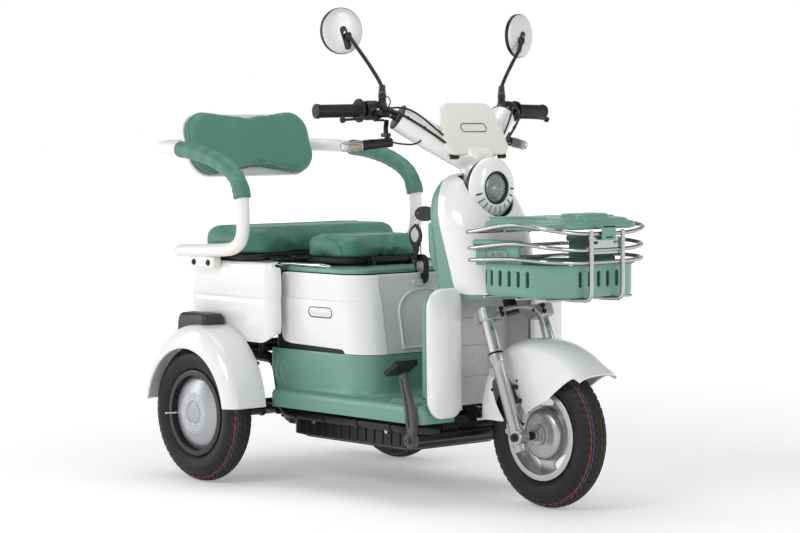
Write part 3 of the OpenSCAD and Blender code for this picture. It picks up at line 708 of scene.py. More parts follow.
def barrel_profile():
    """Rim barrel with its flanges: (radius, distance) round the closed section."""
    return [(102, -33), (113, -33.4), (116.5, -31.5), (115, -29), (110.5, -28.5), (110, -24),
            (106, -19), (103, -8), (103, 8), (106, 19), (110, 24), (110.5, 28.5), (115, 29),
            (116.5, 31.5), (113, 33.4), (108, 33), (106.5, 27), (103, 21), (99.5, 9),
            (99.5, -9), (103, -21), (105, -29)]


def hub_cap(side):
    """Domed cap of a rear wheel; side is the way it faces along Y."""
    profile = [(0, 35.6), (24, 35.2), (26.5, 34.6), (27.5, 33.4), (28.6, 33.2), (30, 34.4), (33, 35.2),
               (48, 35.0), (56, 34.2), (60, 32.8), (70, 30.0), (82, 25.6), (92, 20.6),
               (100, 15.0), (103.5, 11.4), (104.4, 9.0), (103.4, 7.2), (99, 8.6), (60, 12), (0, 12)]
    return lathe([(r, h * side) for r, h in profile], (0, 0, 0), (0, 1, 0), 120)


def perforations(side):
    """Rings of small dimples between the cap's boss and its dome."""
    made = []
    for k, radius in enumerate((37.0, 41.0, 45.0, 49.0, 53.0)):
        count = 60
        for i in range(count):
            a = (i + 0.5 * (k % 2)) * TAU / count
            centre = (radius * math.cos(a), 34.7 * side, radius * math.sin(a))
            made.append(lathe([(0, 0.95 * side), (0.9, 0.7 * side), (1.35, -0.2 * side)],
                              centre, (0, 1, 0), 6))
    return join(made)


def rear_wheel(side, body, tag):
    y = 349.0 * side
    place = (0, y, WHEEL_Z)
    tyre("tyre_rear_" + tag, y, 0.0, body, "rear_tyre_" + tag)
    rim = lathe(barrel_profile(), place, (0, 1, 0), 120, closed=True)
    web = lathe([(30, -22 * side), (34, -22 * side), (60, 2 * side), (100, 4 * side),
                 (100, 8 * side), (58, 6 * side), (28, -10 * side), (12, -10 * side),
                 (12, -34 * side), (30, -34 * side)], place, (0, 1, 0), 90, closed=True)
    piece("rim_rear_" + tag, rim + web, ["black_steel"], body, ["rear_rim_" + tag])
    piece("hub_cap_" + tag, hub_cap(side).moved(place), ["hub_silver"], body, (),
          angle=50)
    piece("hub_cap_mesh_" + tag, perforations(side).moved(place), ["chrome_steel"], body, ())
    stem_at = np.array([-103.0, 30.0 * side, -8.0])
    valve = lathe([(0, -12), (3.6, -12), (4.2, -8), (3.4, 0), (2.9, 8), (2.9, 13), (3.4, 13.4),
                   (3.4, 18), (2.4, 19.4), (0, 19.6)], stem_at + place,
                  (-0.35, 0.94 * side, 0.0), 16)
    piece("valve_" + tag, valve, ["chrome_steel"], body, ())
    groove = lathe([(104.6, 20 * side), (108.5, 27 * side), (110, 32 * side), (107, 33 * side),
                    (103.5, 24 * side)], place, (0, 1, 0), 120, closed=True)
    piece("hub_ring_" + tag, groove, ["black_plastic"], body, ())


def front_wheel():
    place = (WHEELBASE, 0, WHEEL_Z)
    tyre("tyre_front", 0.0, WHEELBASE, "front_wheel", "front_tyre")
    rim = lathe(barrel_profile(), place, (0, 1, 0), 120, closed=True)
    disc = lathe([(60, -4), (74, -8), (90, -6), (101, -3), (101, 3), (90, 0), (74, -2), (60, 4)],
                 place, (0, 1, 0), 90, closed=True)
    windows = []
    for i in range(5):
        a0 = math.radians(72 * i + 20)
        outline = []
        for a in np.linspace(-19, 19, 9):
            outline.append((97.5, a))
        for a in np.linspace(19, -19, 9):
            outline.append((72.0 + 5.0 * (abs(a) / 19) ** 2, a))
        flat = [(r * math.cos(a0 + math.radians(d)), r * math.sin(a0 + math.radians(d)))
                for r, d in outline]
        windows.append(prism(np.array(flat), "y", -20, 20, 1.0).moved(place))
    piece("rim_front", rim, ["cast_alloy"], "front_wheel", ["front_rim"], angle=50)
    piece("wheel_disc", disc, ["cast_alloy"], "front_wheel", (), cuts=[join(windows)],
          bevel=1.2, angle=50)
    right = lathe([(0, -57), (13, -57), (14.5, -55.5), (15, -44), (25, -43), (26.5, -41.5),
                   (27, -33), (30, -31.5), (50, -30.5), (58, -28), (63.5, -22), (66, -14), (66.5, -2),
                   (66, 10), (64, 19), (60, 24), (52, 27), (28, 29), (24, 33), (23, 44),
                   (16, 46), (15, 57), (0, 57)], place, (0, 1, 0), 96)
    piece("hub_front", right, ["silver_paint"], "front_wheel", (), angle=45)
    ribs = []
    for r0, h in ((38, -31.4), (47, -31.0)):
        ribs.append(lathe([(r0 - 1.2, h + 0.6), (r0 - 0.6, h - 0.7), (r0 + 0.6, h - 0.7),
                           (r0 + 1.2, h + 0.6)], place, (0, 1, 0), 90, closed=True))
    piece("hub_rings", join(ribs), ["silver_paint"], "front_wheel", ())
    valve = lathe([(0, -10), (3.6, -10), (4, -6), (3.2, 4), (2.8, 14), (3.3, 14.4), (3.3, 19),
                   (0, 20)], np.array(place) + (-96.0, -6.0, 22.0), (0.9, -0.3, -0.2), 14)
    piece("valve_front", valve, ["black_plastic"], "front_wheel", ())


# -------------------------------------------------------------------------- fork
LEAN = np.array([-math.sin(RAKE), 0.0, math.cos(RAKE)])     # up the steering axis
AHEAD = np.array([math.cos(RAKE), 0.0, math.sin(RAKE)])
LEG_DOWN = (490.0 - WHEEL_Z) / math.cos(RAKE)


def on_leg(side, height, ahead=0.0, out=0.0):
    """A point by a fork leg: height up the leg from the yoke."""
    return np.array(YOKE) + AHEAD * (5.0 + ahead) + LEAN * height + np.array([0, side * (100.0 + out), 0])


def fork():
    tops, tubes, lowers, seals, lugs = [], [], [], [], []
    for s in (-1, 1):
        tubes.append(lathe([(0, -250), (15.9, -250), (15.9, 8), (15.2, 9.5), (0, 9.5)],
                           on_leg(s, 0), LEAN, 48))
        tops.append(lathe([(16.2, 3), (18.8, 3.4), (19.4, 5), (19.4, 9), (18.4, 11), (12, 12), (11, 10.5),
                           (0, 10.5)], on_leg(s, 0), LEAN, 40))
        low = -LEG_DOWN
        lowers.append(lathe([
            (0, low - 42), (13.4, low - 42), (15, low - 40.5), (15.4, low - 20), (17.6, low - 14),
            (18, low + 12), (16.6, low + 26), (16.4, -176), (16.8, -160), (17.6, -140), (20, -136),
            (22.2, -133), (22.6, -131), (22.6, -114), (22, -112), (19.6, -111), (17, -111.4),
            (16.2, -120)], on_leg(s, 0), LEAN, 56))
        seals.append(lathe([(16.0, -114), (20.6, -112), (21.4, -110.4), (20.4, -108.6),
                            (17.6, -106.8), (16.0, -105)], on_leg(s, 0), LEAN, 40))
        boss = np.array([WHEELBASE, s * 101.0, WHEEL_Z])
        lugs.append(lathe([(9, -17), (17.5, -17), (19, -15.5), (19.8, -9), (19.8, 12), (18.6, 16),
                           (15, 17), (12.5, 16.6), (9, 16.6)], boss, (0, s, 0), 40, closed=True))
        lugs.append(tube([on_leg(s, low + 62, -10), on_leg(s, low + 34, -24), on_leg(s, low + 8, -26)],
                         4.2, 12, 2.0, 0.8))
        lugs.append(prism(rounded(-6, 14, -11, 11, 4, 4), "y", -3, 3, 1.2).moved(
            on_leg(s, -150, -20, -s * 12)))
        lugs.append(hexagon(on_leg(s, low - 14, -17, s * 3), (-1, 0.2 * s, 0.2), 4.4, 6))
        lugs.append(prism(rounded(-9, 9, -7, 7, 5, 5), "y", -3, 3, 1.2).moved(
            on_leg(s, low + 20, -26)))
        lugs.append(prism(rounded(-9, 9, -7, 7, 5, 5), "y", -3, 3, 1.2).moved(
            on_leg(s, low - 30, -20)))
    piece("fork_tubes", join(tubes), ["chrome_steel"], "steering", ["fork_stanchions"],
          angle=45)
    piece("fork_caps", join(tops), ["cast_alloy"], "steering", ())
    piece("fork_legs", join(lowers) + join(lugs), ["silver_paint"], "fork_slider", ["fork_lowers"],
          angle=45)
    piece("fork_seals", join(seals), ["grip_rubber"], "fork_slider", ())
    axle = []
    for s in (-1, 1):
        axle.append(hexagon((WHEELBASE, s * 118.4, WHEEL_Z), (0, s, 0), 11, 7.4))
        axle.append(lathe([(0, 0), (5.9, 0), (5.9, 9.6), (5.2, 10.6), (0, 10.6)],
                          (WHEELBASE, s * 118.4, WHEEL_Z), (0, s, 0), 24))
        axle.append(lathe([(6, 0), (10.8, 0), (11, 1), (11, 7), (9, 8), (9, 14), (11, 15), (11, 20.5),
                           (10.6, 21.4), (6, 21.4)], (WHEELBASE, s * 60.1, WHEEL_Z), (0, s, 0), 32,
                          closed=True))
    axle.append(lathe([(0, -116), (6, -116), (6, 116), (0, 116)], (WHEELBASE, 0, WHEEL_Z), (0, 1, 0), 24))
    piece("front_axle_nuts", join(axle), ["black_plastic"], "fork_slider", ["front_axle"])


def yoke():
    """Arched bridge between the legs, with its pinch bolts, and the steering stem."""
    span, top = 119.0, 8.0
    outline = [(-span, top - 3), (-span, -22)]
    outline += [(-span + 2, -24), (-span + 36, -24)]
    for a in np.linspace(180, 0, 25):
        outline.append((66 * math.cos(math.radians(a)), -24 + 23 * math.sin(math.radians(a))))
    outline += [(span - 36, -24), (span - 2, -24), (span, -22), (span, top - 3)]
    for y, z in ((112, 8), (84, 8), (60, 6), (34, 8), (0, 8), (-34, 8), (-60, 6), (-84, 8), (-112, 8)):
        outline.append((y, z))
    local = prism(np.array(outline), "x", -21, 28, 3.0)
    rot = np.eye(4)
    rot[:3, :3] = np.stack([AHEAD, [0, 1, 0], LEAN], axis=1)
    rot[:3, 3] = YOKE
    bridge = local.through(rot)
    clamps = []
    for s in (-1, 1):
        clamps.append(lathe([(16.2, -24), (22, -24), (23.4, -22.4), (23.4, 4), (22, 6), (16.2, 6)],
                            on_leg(s, 0), LEAN, 48, closed=True))
        for h in (-16, -2):
            clamps.append(prism(rounded(-7, 7, -6, 6, 4, 5), "x", 0, 14, 1.2).through(
                np.array(rot) @ np.array(Matrix.Translation((22, s * 74, h)))))
    piece("fork_bridge", bridge + join(clamps), ["cast_alloy"], "steering", ["steering_stem"],
          angle=40)
    bolts = []
    for s in (-1, 1):
        for h in (-16, -2):
            at = np.array(YOKE) + AHEAD * 36 + LEAN * h + np.array([0, s * 74, 0])
            bolts.append(bolt(at, AHEAD, 5.2, 6.0))
        at = np.array(YOKE) + AHEAD * 28 + LEAN * -10 + np.array([0, s * 46, 0])
        bolts.append(bolt(at, AHEAD, 3.0, 3.0))
    piece("bridge_bolts", join(bolts), ["black_steel"], "steering", ())
    stem = lathe([(0, -8), (18, -8), (18, 60), (24, 62), (24, 66), (18, 68), (18, 440), (16, 444),
                  (0, 444)], YOKE, LEAN, 48)
    piece("stem_tube", stem, ["black_steel"], "steering", ())


def front_fender():
    """Deep front fender: a crowned hood whose skirts reach down beside the wheel."""
    around = ((40, 246), (65, 243), (90, 242), (115, 246), (128, 242), (140, 232), (173, 205))
    around_a, around_r = zip(*around)
    rows = []
    angles = np.concatenate([np.linspace(40.5, 114, 32), np.linspace(115, 126, 12), np.linspace(128, 173, 20)])
    edge_line = [(40.5, 226), (46.5, 214), (53, 154), (60, 106), (75, 79), (95, 63), (112, 58), (117, 60), (118.5, 82),
                 (120, 150), (122, 192), (126, 196), (140, 190), (150, 156), (158, 126), (165, 104), (168, 122),
                 (173, 200)]
    table_a, table_r = zip(*edge_line)
    for a in angles:
        low = np.interp(a, table_a, table_r)
        tip = max(0.0, (56.0 - a) / 15.5)
        top = np.interp(a, around_a, around_r) + 6.0 * tip ** 2
        half = 60.0 + 4.0 * tip
        section = []
        drop = min(36.0, top - low - 1.0) if top - low > 6 else 5.0
        for t in np.linspace(0, 88, 12):
            y = half * math.sin(math.radians(t)) ** 0.9
            section.append((y, top - drop * (1 - math.cos(math.radians(t)) ** 0.85)))
        start = section[-1][1]
        low = min(low, start - 1.0)
        for t in np.linspace(0, 1, 15)[1:]:
            y = half + 2.5 * math.sin(t * math.pi) - 3.0 * t ** 3
            section.append((y, start + (low - start) * t))
        full = [(-y, r) for y, r in reversed(section[1:])] + section
        ca, sa = math.cos(math.radians(a)), math.sin(math.radians(a))
        rows.append([(WHEELBASE + r * ca, y, WHEEL_Z + r * sa) for y, r in full])
    shape = loft(rows, caps=False, closed=False)
    piece("front_fender_shell", shape, ["white_cover"], "fork_slider", ["front_fender"],
          thick=3.0, angle=50, even=False)
    dots = []
    for s in (-1, 1):
        for x, z in ((929.0, 322.0), (937.0, 272.0)):
            dots.append(bolt((x, s * 61.4, z), (0, s, 0), 3.4, 2.6))
        dots.append(bolt((838.0, s * 61.4, 292.0), (0, s, 0), 3.2, 2.6))
        dots.append(box(905, 934, s * 73 - 12, s * 73 + 12, 300, 312, 2.0))
        dots.append(box(917, 946, s * 73 - 12, s * 73 + 12, 266, 278, 2.0))
    piece("fender_fixings", join(dots), ["black_steel"], "fork_slider", ())


rear_wheel(-1, "rear_wheel_right", "right")
rear_wheel(1, "rear_wheel_left", "left")
front_wheel()
fork()
yoke()
front_fender()


# ------------------------------------------------------------------- body panels
def stacked(levels, caps=True, crown=0.0):
    """Loft of rounded rectangles; a level is (x0, x1, half width, corner radius, z)."""
    rings = []
    for x0, x1, half, r, z in levels:
        most = min(half, (x1 - x0) / 2) - 0.5
        flat = rounded(x0, x1, -half, half, np.minimum(np.ravel([r] * 4)[:4] if np.isscalar(r) else r, most), 10)
        rings.append(on_plane(flat, "z", z))
    return loft(rings, caps)


def crowned(x0, x1, half, r, low, high, edge, rise=0.0, steps=6):
    """Slab whose upper edge is rounded and whose top swells by rise."""
    levels = [(x0 + 1, x1 - 1, half - 1, r - 1, low), (x0, x1, half, r, low + 1.2)]
    for a in np.linspace(0, math.pi / 2, steps):
        d = edge * (1 - math.cos(a))
        levels.append((x0 + d, x1 - d, half - d, max(r - d, 1), high - edge + edge * math.sin(a)))
    for share in (0.25, 0.5, 0.75, 0.97):
        d = edge + share * (min(half, (x1 - x0) / 2) - edge)
        levels.append((x0 + d, x1 - d, half - d, max(r - d, 0.5), high + rise * math.sin(share * math.pi / 2)))
    return stacked(levels)


def floor_pan():
    levels = [(167, 767, 243, 16, 211), (162, 772, 248, 20, 210), (160, 774, 250, 24, 213),
              (160, 774, 250, 24, 236), (159.4, 774.6, 250.6, 24, 239), (159.4, 774.6, 250.6, 24, 243),
              (160, 774, 249.6, 24, 247), (161.6, 772.4, 248, 22, 251), (164.6, 769.4, 245, 20, 254.4),
              (169, 765, 240.6, 18, 256.4), (176, 758, 234, 16, 257),
              (122, 572, 231, (88, 88, 16, 16), 257), (124, 561, 227.6, (86, 86, 16, 16), 258.4), (126, 553, 224, (84, 84, 16, 16), 262),
              (127, 548, 221.8, (82, 82, 16, 16), 268), (127.6, 545, 220.6, (81, 81, 16, 16), 278), (128, 541, 219.8, (80, 80, 16, 16), 306),
              (128, 537.6, 219.6, (80, 80, 16, 16), 350), (129, 536, 219.2, (80, 80, 16, 16), 362), (130, 534.6, 218.2, (79, 79, 16, 16), 365.4)]
    shell = stacked(levels, caps=False)
    rear = soft([(90, 410), (112, 396), (124, 362), (131, 325), (146, 286), (163, 262), (171, 252)], 2)
    rear = np.vstack([rear, [(171, 190), (90, 190)]])
    piece("floor_pan", shell, ["green_cover"], "chassis", ["floor_panel"],
          thick=4.0, cuts=[prism(rear, "y", -300, 300, 0.5)], bevel=0.8, angle=42,
          windows=[((652, -134, 190), (800, 134, 300))])
    ribs = []
    for k in range(15):
        y = (k - 7) * 30.0
        start = 590 + 22 * (abs(k - 7) % 2)
        end = 642 if abs(y) < 146 else 722
        ribs.append(prism(rounded(start, end, y - 4.5, y + 4.5, 4.4, 5), "z", 256, 259.6, 1.8))
    for s in (-1, 1):
        for x in (150, 172):
            path = soft([(x + 14, s * 219.6, 334), (x + 4, s * 219.9, 312), (x + 10, s * 220.4, 286),
                         (x + 30, s * 222.2, 266), (x + 58, s * 226.4, 259)], 3)
            ribs.append(tube(path, 3.2, 10, 2.0))
    piece("floor_ribs", join(ribs), ["green_cover"], "chassis", ())


def box_ring(z, grow):
    """Outline of the seat box at a height; its front leans back."""
    front = 540.0 - (z - 345.0) * 44.0 / 230.0
    radii = (80 + grow, 80 + grow, 24, 24)
    return on_plane(rounded(130 - grow, front + grow, -220 - grow, 220 + grow, radii, 14), "z", z)


def box_skin(low, high, grow, step=True):
    levels = np.concatenate([np.linspace(low, 500, 9), [503.5, 505, 507, 510], np.linspace(520, high - 6, 4),
                             [high - 3, high - 1, high]])
    rings = []
    for z in levels:
        swell = 3.2 * max(0.0, (z - 415) / 88.0) ** 1.5 if step and z < 504.5 else 0.0
        edge = -3.0 * max(0.0, (z - high + 6) / 6) ** 2
        rings.append(box_ring(z, grow + swell + edge))
    return loft(rings, caps=False)


def seat_housing():
    gap_front = prism(rounded(420, 640, -149, 149, 2, 2), "z", 300, 640, 0.2)
    piece("seat_box_sides", box_skin(367, 574, 0.0), ["white_cover"], "chassis", ["seat_box"],
          thick=3.6, keeps=[join([prism(np.vstack([
              soft([(446, 366), (438, 377), (424, 378)], 2), soft([(222, 382), (186, 388), (180, 422)], 2),
              soft([(178, 540), (182, 570), (206, 573)], 2), [(600, 573), (600, 366)]])[::-1],
              "y", -300, 300, 0.2)])], cuts=[gap_front], bevel=0.9, angle=42)
    front_keep = prism(rounded(424, 640, -147, 147, 2, 2), "z", 300, 640, 0.2)
    door = [(-92, 380), (92, 380)] + [(92 * math.cos(a), 470 + 62 * math.sin(a))
                                      for a in np.linspace(0, math.pi, 22)]
    frame_path = [(540 - (z - 345) * 44 / 230 + 0.6, y, z) for y, z in door + [door[0]]]
    # The front panel faces away from the light, so it takes the darker white as painted shade.
    piece("seat_box_front", box_skin(367, 574, -1.6, False), ["white_painted_shade"], "chassis", (),
          thick=3.0, keeps=[front_keep], bevel=0.8)
    ridge = tube(resample(frame_path, 90), 3.0, 10, 0, 1.0)
    handle = prism(rounded(-34, 34, -8, 8, 7.8, 8), "x", 0, 4, 1.6).moved((502, 0, 548))
    # The door ridge and handle sit on the front panel and use the same painted-shade white.
    piece("seat_box_door", ridge + handle, ["white_painted_shade"], "chassis", ())
    piece("seat_box_core", box_skin(348, 572, -8.0, False), ["black_plastic"], "chassis", (),
          thick=3.0)
    badge = [tube_ring(347, 471, 48, 13, 1.6, s * 221.4, "y") for s in (-1, 1)]
    piece("side_badges", join(badge), ["badge_ink"], "chassis", ())
    inks = []
    for s in (-1, 1):
        inks.append(prism(rounded(305, 389, 462, 480, 8.8, 8), "y", -0.5, 0.9, 0.4).moved((0, s * 221.2, 0)))
    piece("side_badge_fields", join(inks), ["badge_field"], "chassis", ())


def tube_ring(cx, cz, half, r, wire, level, axis):
    """Wire round a capsule outline."""
    flat = rounded(cx - half, cx + half, cz - r, cz + r, r - 0.2, 10)
    path = on_plane(np.vstack([flat, flat[:1]]), axis, level)
    return tube(resample(path, 97)[:-1], wire, 8, closed=True)


def deck():
    top = crowned(158, 478, 213, 62, 575, 588, 6, 2.0)
    piece("deck_top", top, ["green_cover"], "chassis", ["seat_deck"],
          cuts=[prism(rounded(202, 348, -118, 118, 18, 6), "z", 560, 600, 1.0)], bevel=0.8)
    parts = []
    for s in (-1, 1):
        ear = np.vstack([[(360, 586), (392, 586)], soft([(390, 600), (384, 613), (368, 613), (362, 600)], 2)])
        parts.append(prism(ear, "y", s * 68 - 4, s * 68 + 4, 1.2))
        parts.append(bolt((376, s * 72.4, 604), (0, s, 0), 5.0, 4.0))
        parts.append(prism(rounded(352, 400, s * 96 - 26, s * 96 + 8, 5, 4), "z", 587, 591, 1.0))
    parts.append(lathe([(0, -68), (5, -68), (5, 68), (0, 68)], (376, 0, 604), (0, 1, 0), 24))
    piece("deck_hinge", join(parts), ["black_steel"], "chassis", ())
    rails = []
    for s in (-1, 1):
        rails.append(tube(bend([(150, s * 205, 592), (330, s * 205, 594), (356, s * 196, 590)], 14), 5.0, 16, 2.0))
    piece("deck_rails", join(rails), ["chrome_steel"], "chassis", ())


def rear_housing():
    levels = []
    for z, grow in ((378, -3), (380, -1), (384, 0), (430, 0.6), (470, 0.4), (486, 0.0), (496, -0.9), (499, -1.5), (502, -0.9),
                    (507, 1.2), (520, 1.5), (545, 1.2), (580, 0), (588, -0.8), (593, -3.0), (596.4, -6.6), (598, -12),
                    (598.6, -60), (599, -110)):
        levels.append((-180 - grow, 214 + grow, 284.2 + grow, (31, 31, 66, 66), z))
    shell = stacked(levels, caps=False)
    side = rounded(-182, 216, 383, 602, [46, 38, 12, 34], 10)
    well = prism(rounded(-90, 98, -165, 165, 20, 6), "z", 560, 640, 1.0)
    front = prism(rounded(176, 300, -248, 248, 3, 2), "z", 340, 640, 0.5)
    top_front = prism(rounded(104, 300, -226, 226, 3, 2), "z", 570, 640, 0.5)
    piece("rear_shell", shell, ["white_cover"], "chassis", ["rear_body"],
          thick=4.0, keeps=[prism(side, "y", -320, 320, 0.2)], cuts=[well, front, top_front],
          bevel=0.9, angle=42)
    blocks, screws = [], []
    for s in (-1, 1):
        low, high = sorted((s * 285.3, s * 315.0))
        blocks.append(prism(rounded(-105, 2, low, high, 6, 5), "z", 577, 608, 4.0, 5))
        for x in (-84, -20):
            screws.append(bolt((x, s * 314.6, 592), (0, s, 0), 6.6, 4.6))
    piece("armrest_brackets", join(blocks), ["white_tube"], "chassis", ())
    piece("armrest_bolts", join(screws), ["black_steel"], "chassis", ())
    lamps, ribs = [], []
    for s in (-1, 1):
        low, high = sorted((s * 150, s * 240))
        lamps.append(prism(rounded(low, high, 470, 520, 18, 8), "x", -194.5, -180.4, 5.0, 5))
        for z in np.arange(477, 516, 5.0):
            less = 10.0 * (abs(z - 495) / 25.0) ** 3
            ribs.append(tube([(-195, low + 8 + less, z), (-195, high - 8 - less, z)], 1.3, 8, 0.6))
    piece("tail_lamps", join(lamps) + join(ribs), ["red_lens"], "chassis", ["tail_lamps"])


def fender_rows(side):
    rows = []
    for t in np.radians(np.linspace(-8, 188, 66)):
        ca, sa = math.cos(t), math.sin(t)
        outer = np.array([200 * ca, WHEEL_Z + 240 * sa])
        opening = np.array([-12 + 172 * ca, WHEEL_Z + 178 * sa])
        row = [(outer[0] * 0.97, 286.5, WHEEL_Z + (outer[1] - WHEEL_Z) * 0.975)]
        for y, grow in ((287.5, -2.0), (291, 0.0), (310, 0.4), (330, 0.4), (350, 0.2), (368, -0.6)):
            row.append((outer[0] + grow * ca, y, outer[1] + grow * sa))
        for u in np.linspace(0.12, 1.0, 9):
            w = 1 - math.cos(u * math.pi / 2)
            p = outer * (1 - w) + opening * w
            row.append((p[0], 370 + 37.5 * math.sin(u * math.pi / 2) ** 0.9, p[1]))
        lip = opening - np.array([ca, sa]) * 2.0
        row.append((lip[0], 405.5, lip[1]))
        row.append((lip[0], 401.0, lip[1]))
        rows.append([(x, side * y, z) for x, y, z in row])
    return rows


def cap_shape(side):
    rings = []
    for level, less in ((-3, 0), (8, 0.4), (18, 1.4), (24, 3.5), (27, 6.5), (28.6, 11), (29.4, 20), (29.8, 33)):
        flat = rounded(-112 + less, 28 - less, 290 + less * 0.9, 361 - less, max(18 - less * 0.3, 2), 8)
        ring = []
        for x, y in flat:
            surface = WHEEL_Z + 240 * math.sqrt(1 - (x / 200.0) ** 2)
            flat_top = 427.0
            blend = max(0.0, level) / 30.0
            ring.append((x, side * y, surface + level if level < 0 else
                         (surface * (1 - blend) + flat_top * blend) + level))
        rings.append(ring)
    return loft(rings)


def rear_fender(side, tag):
    shell = loft(fender_rows(side), caps=False, closed=False)
    under = box(-400, 400, 200 if side > 0 else -500, 500 if side > 0 else -200, 60, 213, 1)
    piece("rear_fender_" + tag, shell, ["white_cover"], "chassis",
          ["rear_fenders"] if side > 0 else (), thick=3.6, cuts=[under], bevel=1.0,
          angle=45)
    piece("fender_cap_" + tag, cap_shape(side), ["grey_plastic"], "chassis",
          ["fender_caps"] if side > 0 else (), bevel=1.0)


def shields():
    """Leg shield wings with the recess between them, and the green liners behind."""
    wings, liners = [], []
    for s in (-1, 1):
        rings = []
        base = rounded(122, 237, 222, 553, [52, 52, 30, 34], 14)
        for d, x in ((0.8, 783), (0, 785), (0.0, 789), (1.5, 793.6), (5, 797.4), (11, 800.4), (20, 802.8),
                     (32, 804.4), (46, 805.2), (56, 805.4)):
            flat = inset_ring(base, d)
            rings.append([(x - 4.0 * ((z - 388) / 165.0) ** 2 + flare(y, z), s * y, z) for y, z in flat])
        wings.append(loft(rings))
        back = []
        for d, x in ((1.2, 774), (0, 775), (0, 781), (1.6, 782.4)):
            flat = inset_ring(rounded(128, 240, 258, 547, [40, 46, 20, 20], 14), d)
            back.append([(x, s * y, z) for y, z in flat])
        liners.append(loft(back))
        low, high = sorted((s * 127.5, s * 130.5))
        liners.append(box(652, 774, low, high, 262, 512, 1.0))
    liners.append(box(648, 653, -130.5, 130.5, 262, 512, 1.0))
    piece("leg_shield_wings", join(wings), ["white_cover"], "chassis", ["leg_shield"],
          angle=50)
    piece("leg_shield_liners", join(liners), ["green_cover"], "chassis", ["inner_shield"],
          angle=45)
    # The recess between the wings takes the painted-shade white: the shade in the recess is painted into its colour.
    parts = []
    for s in (-1, 1):
        low, high = sorted((s * 122.0, s * 126.0))
        parts.append(box(706, 792, low, high, 240, 516, 1.5))
    parts.append(box(706, 710, -126, 126, 240, 516, 1.5))
    for z in (300, 380, 452):
        parts.append(prism(rounded(-86, 86, z - 14, z + 14, 12, 6), "x", 709, 713, 1.4))
    piece("shield_recess", join(parts), ["white_painted_shade"], "chassis", ())


def flare(y, z):
    """Lower outer corner of a wing turned slightly forward."""
    return 6.0 * max(0.0, (y - 185) / 52) * max(0.0, (330 - z) / 108) ** 1.3


def inset_ring(outline, d):
    """Outline drawn in by d, scaled about its own middle so that it never folds."""
    p = np.array(outline, float)
    mid = (p.min(0) + p.max(0)) / 2
    half = (p.max(0) - p.min(0)) / 2
    return mid + (p - mid) * (half - d) / half


# ------------------------------------------------------------------ front column
SECTIONS = np.array([(522, 655, 868, 118), (540, 655, 868.5, 120.5), (556, 655, 866, 122), (640, 652, 846, 127),
                     (700, 650, 822, 130), (735, 647, 806, 128), (760, 643, 792, 121), (785, 643, 777, 112),
                     (805, 648, 766, 100), (822, 656, 756, 86), (834, 668, 744, 66), (841, 684, 730, 42),
                     (843.5, 700, 716, 16)], float)


def column_ring(z, grow):
    x0, x1, half = (np.interp(z, SECTIONS[:, 0], SECTIONS[:, k]) for k in (1, 2, 3))
    x0, x1, half = x0 - grow, x1 + grow, half + grow
    r = max(min(half, (x1 - x0) / 2) * 0.93, 1.0)
    rear = r * 0.62
    return on_plane(rounded(x0, x1, -half, half, [r, r, rear, rear], 12), "z", z)


def column_skin(low, grow, top=843.5):
    levels = np.concatenate([np.linspace(low, 740, 14), np.linspace(748, 800, 9), [808, 815, 822, 828, 834, 838, 841, top]])
    return loft([column_ring(z, grow) for z in levels], caps=False)


def column():
    split = np.vstack([soft([(676, 846), (693, 790), (713, 720), (738, 640), (753, 586), (764, 541), (800, 535)], 3),
                       [(960, 535), (960, 900), (660, 900)]])[::-1]
    front = prism(split, "y", -240, 240, 0.2)
    lamp_hole = lathe([(0, -40), (75, -40), (75, 90), (0, 90)], (752, 0, 803), (1, 0, 0), 64)
    piece("column_cover", column_skin(531, 0.6), ["white_cover"], "chassis", ["column_front_cover"],
          thick=3.6, keeps=[front], cuts=[lamp_hole], bevel=1.0, angle=45)
    pocket_mouth = prism(rounded(600, 668, -82, 82, 10, 5), "z", 590, 706, 1.0)
    piece("column_shell", column_skin(522, -2.6, 842), ["green_cover"], "chassis",
          ["column_rear_cover"], thick=3.4,
          cuts=[lamp_hole.moved((-3, 0, 0)), pocket_mouth], bevel=0.8, angle=45)
    levels = [(650, 672, 60, 8, 571), (640, 690, 74, 12, 574), (628, 690, 80, 14, 596), (615, 690, 84, 15, 636),
              (612, 690, 84, 15, 704), (612.6, 690, 83.4, 15, 709), (614.4, 688, 81.6, 13, 710.6),
              (616.4, 686, 79.6, 12, 709), (617, 685, 79, 12, 700), (620, 685, 78, 11, 640), (634, 684, 74, 10, 598),
              (650, 680, 66, 8, 584)]
    piece("glove_pocket", stacked(levels), ["green_cover"], "chassis", (), angle=45)
    lock = lathe([(0, 8), (4.6, 8), (4.8, 0.8), (6, 0), (11.6, 0), (13.2, 1), (14, 3), (14, 50), (0, 50)],
                 (629, 0, 735), (1, 0, 0), 40)
    piece("ignition_barrel", lock, ["black_plastic"], "chassis", ["ignition_lock"])
    collar = lathe([(14.4, 8), (19, 8.4), (20.6, 10), (20.6, 20), (14.4, 20)], (629, 0, 735), (1, 0, 0), 48,
                   closed=True)
    piece("ignition_collar", collar, ["chrome_steel"], "chassis", ())


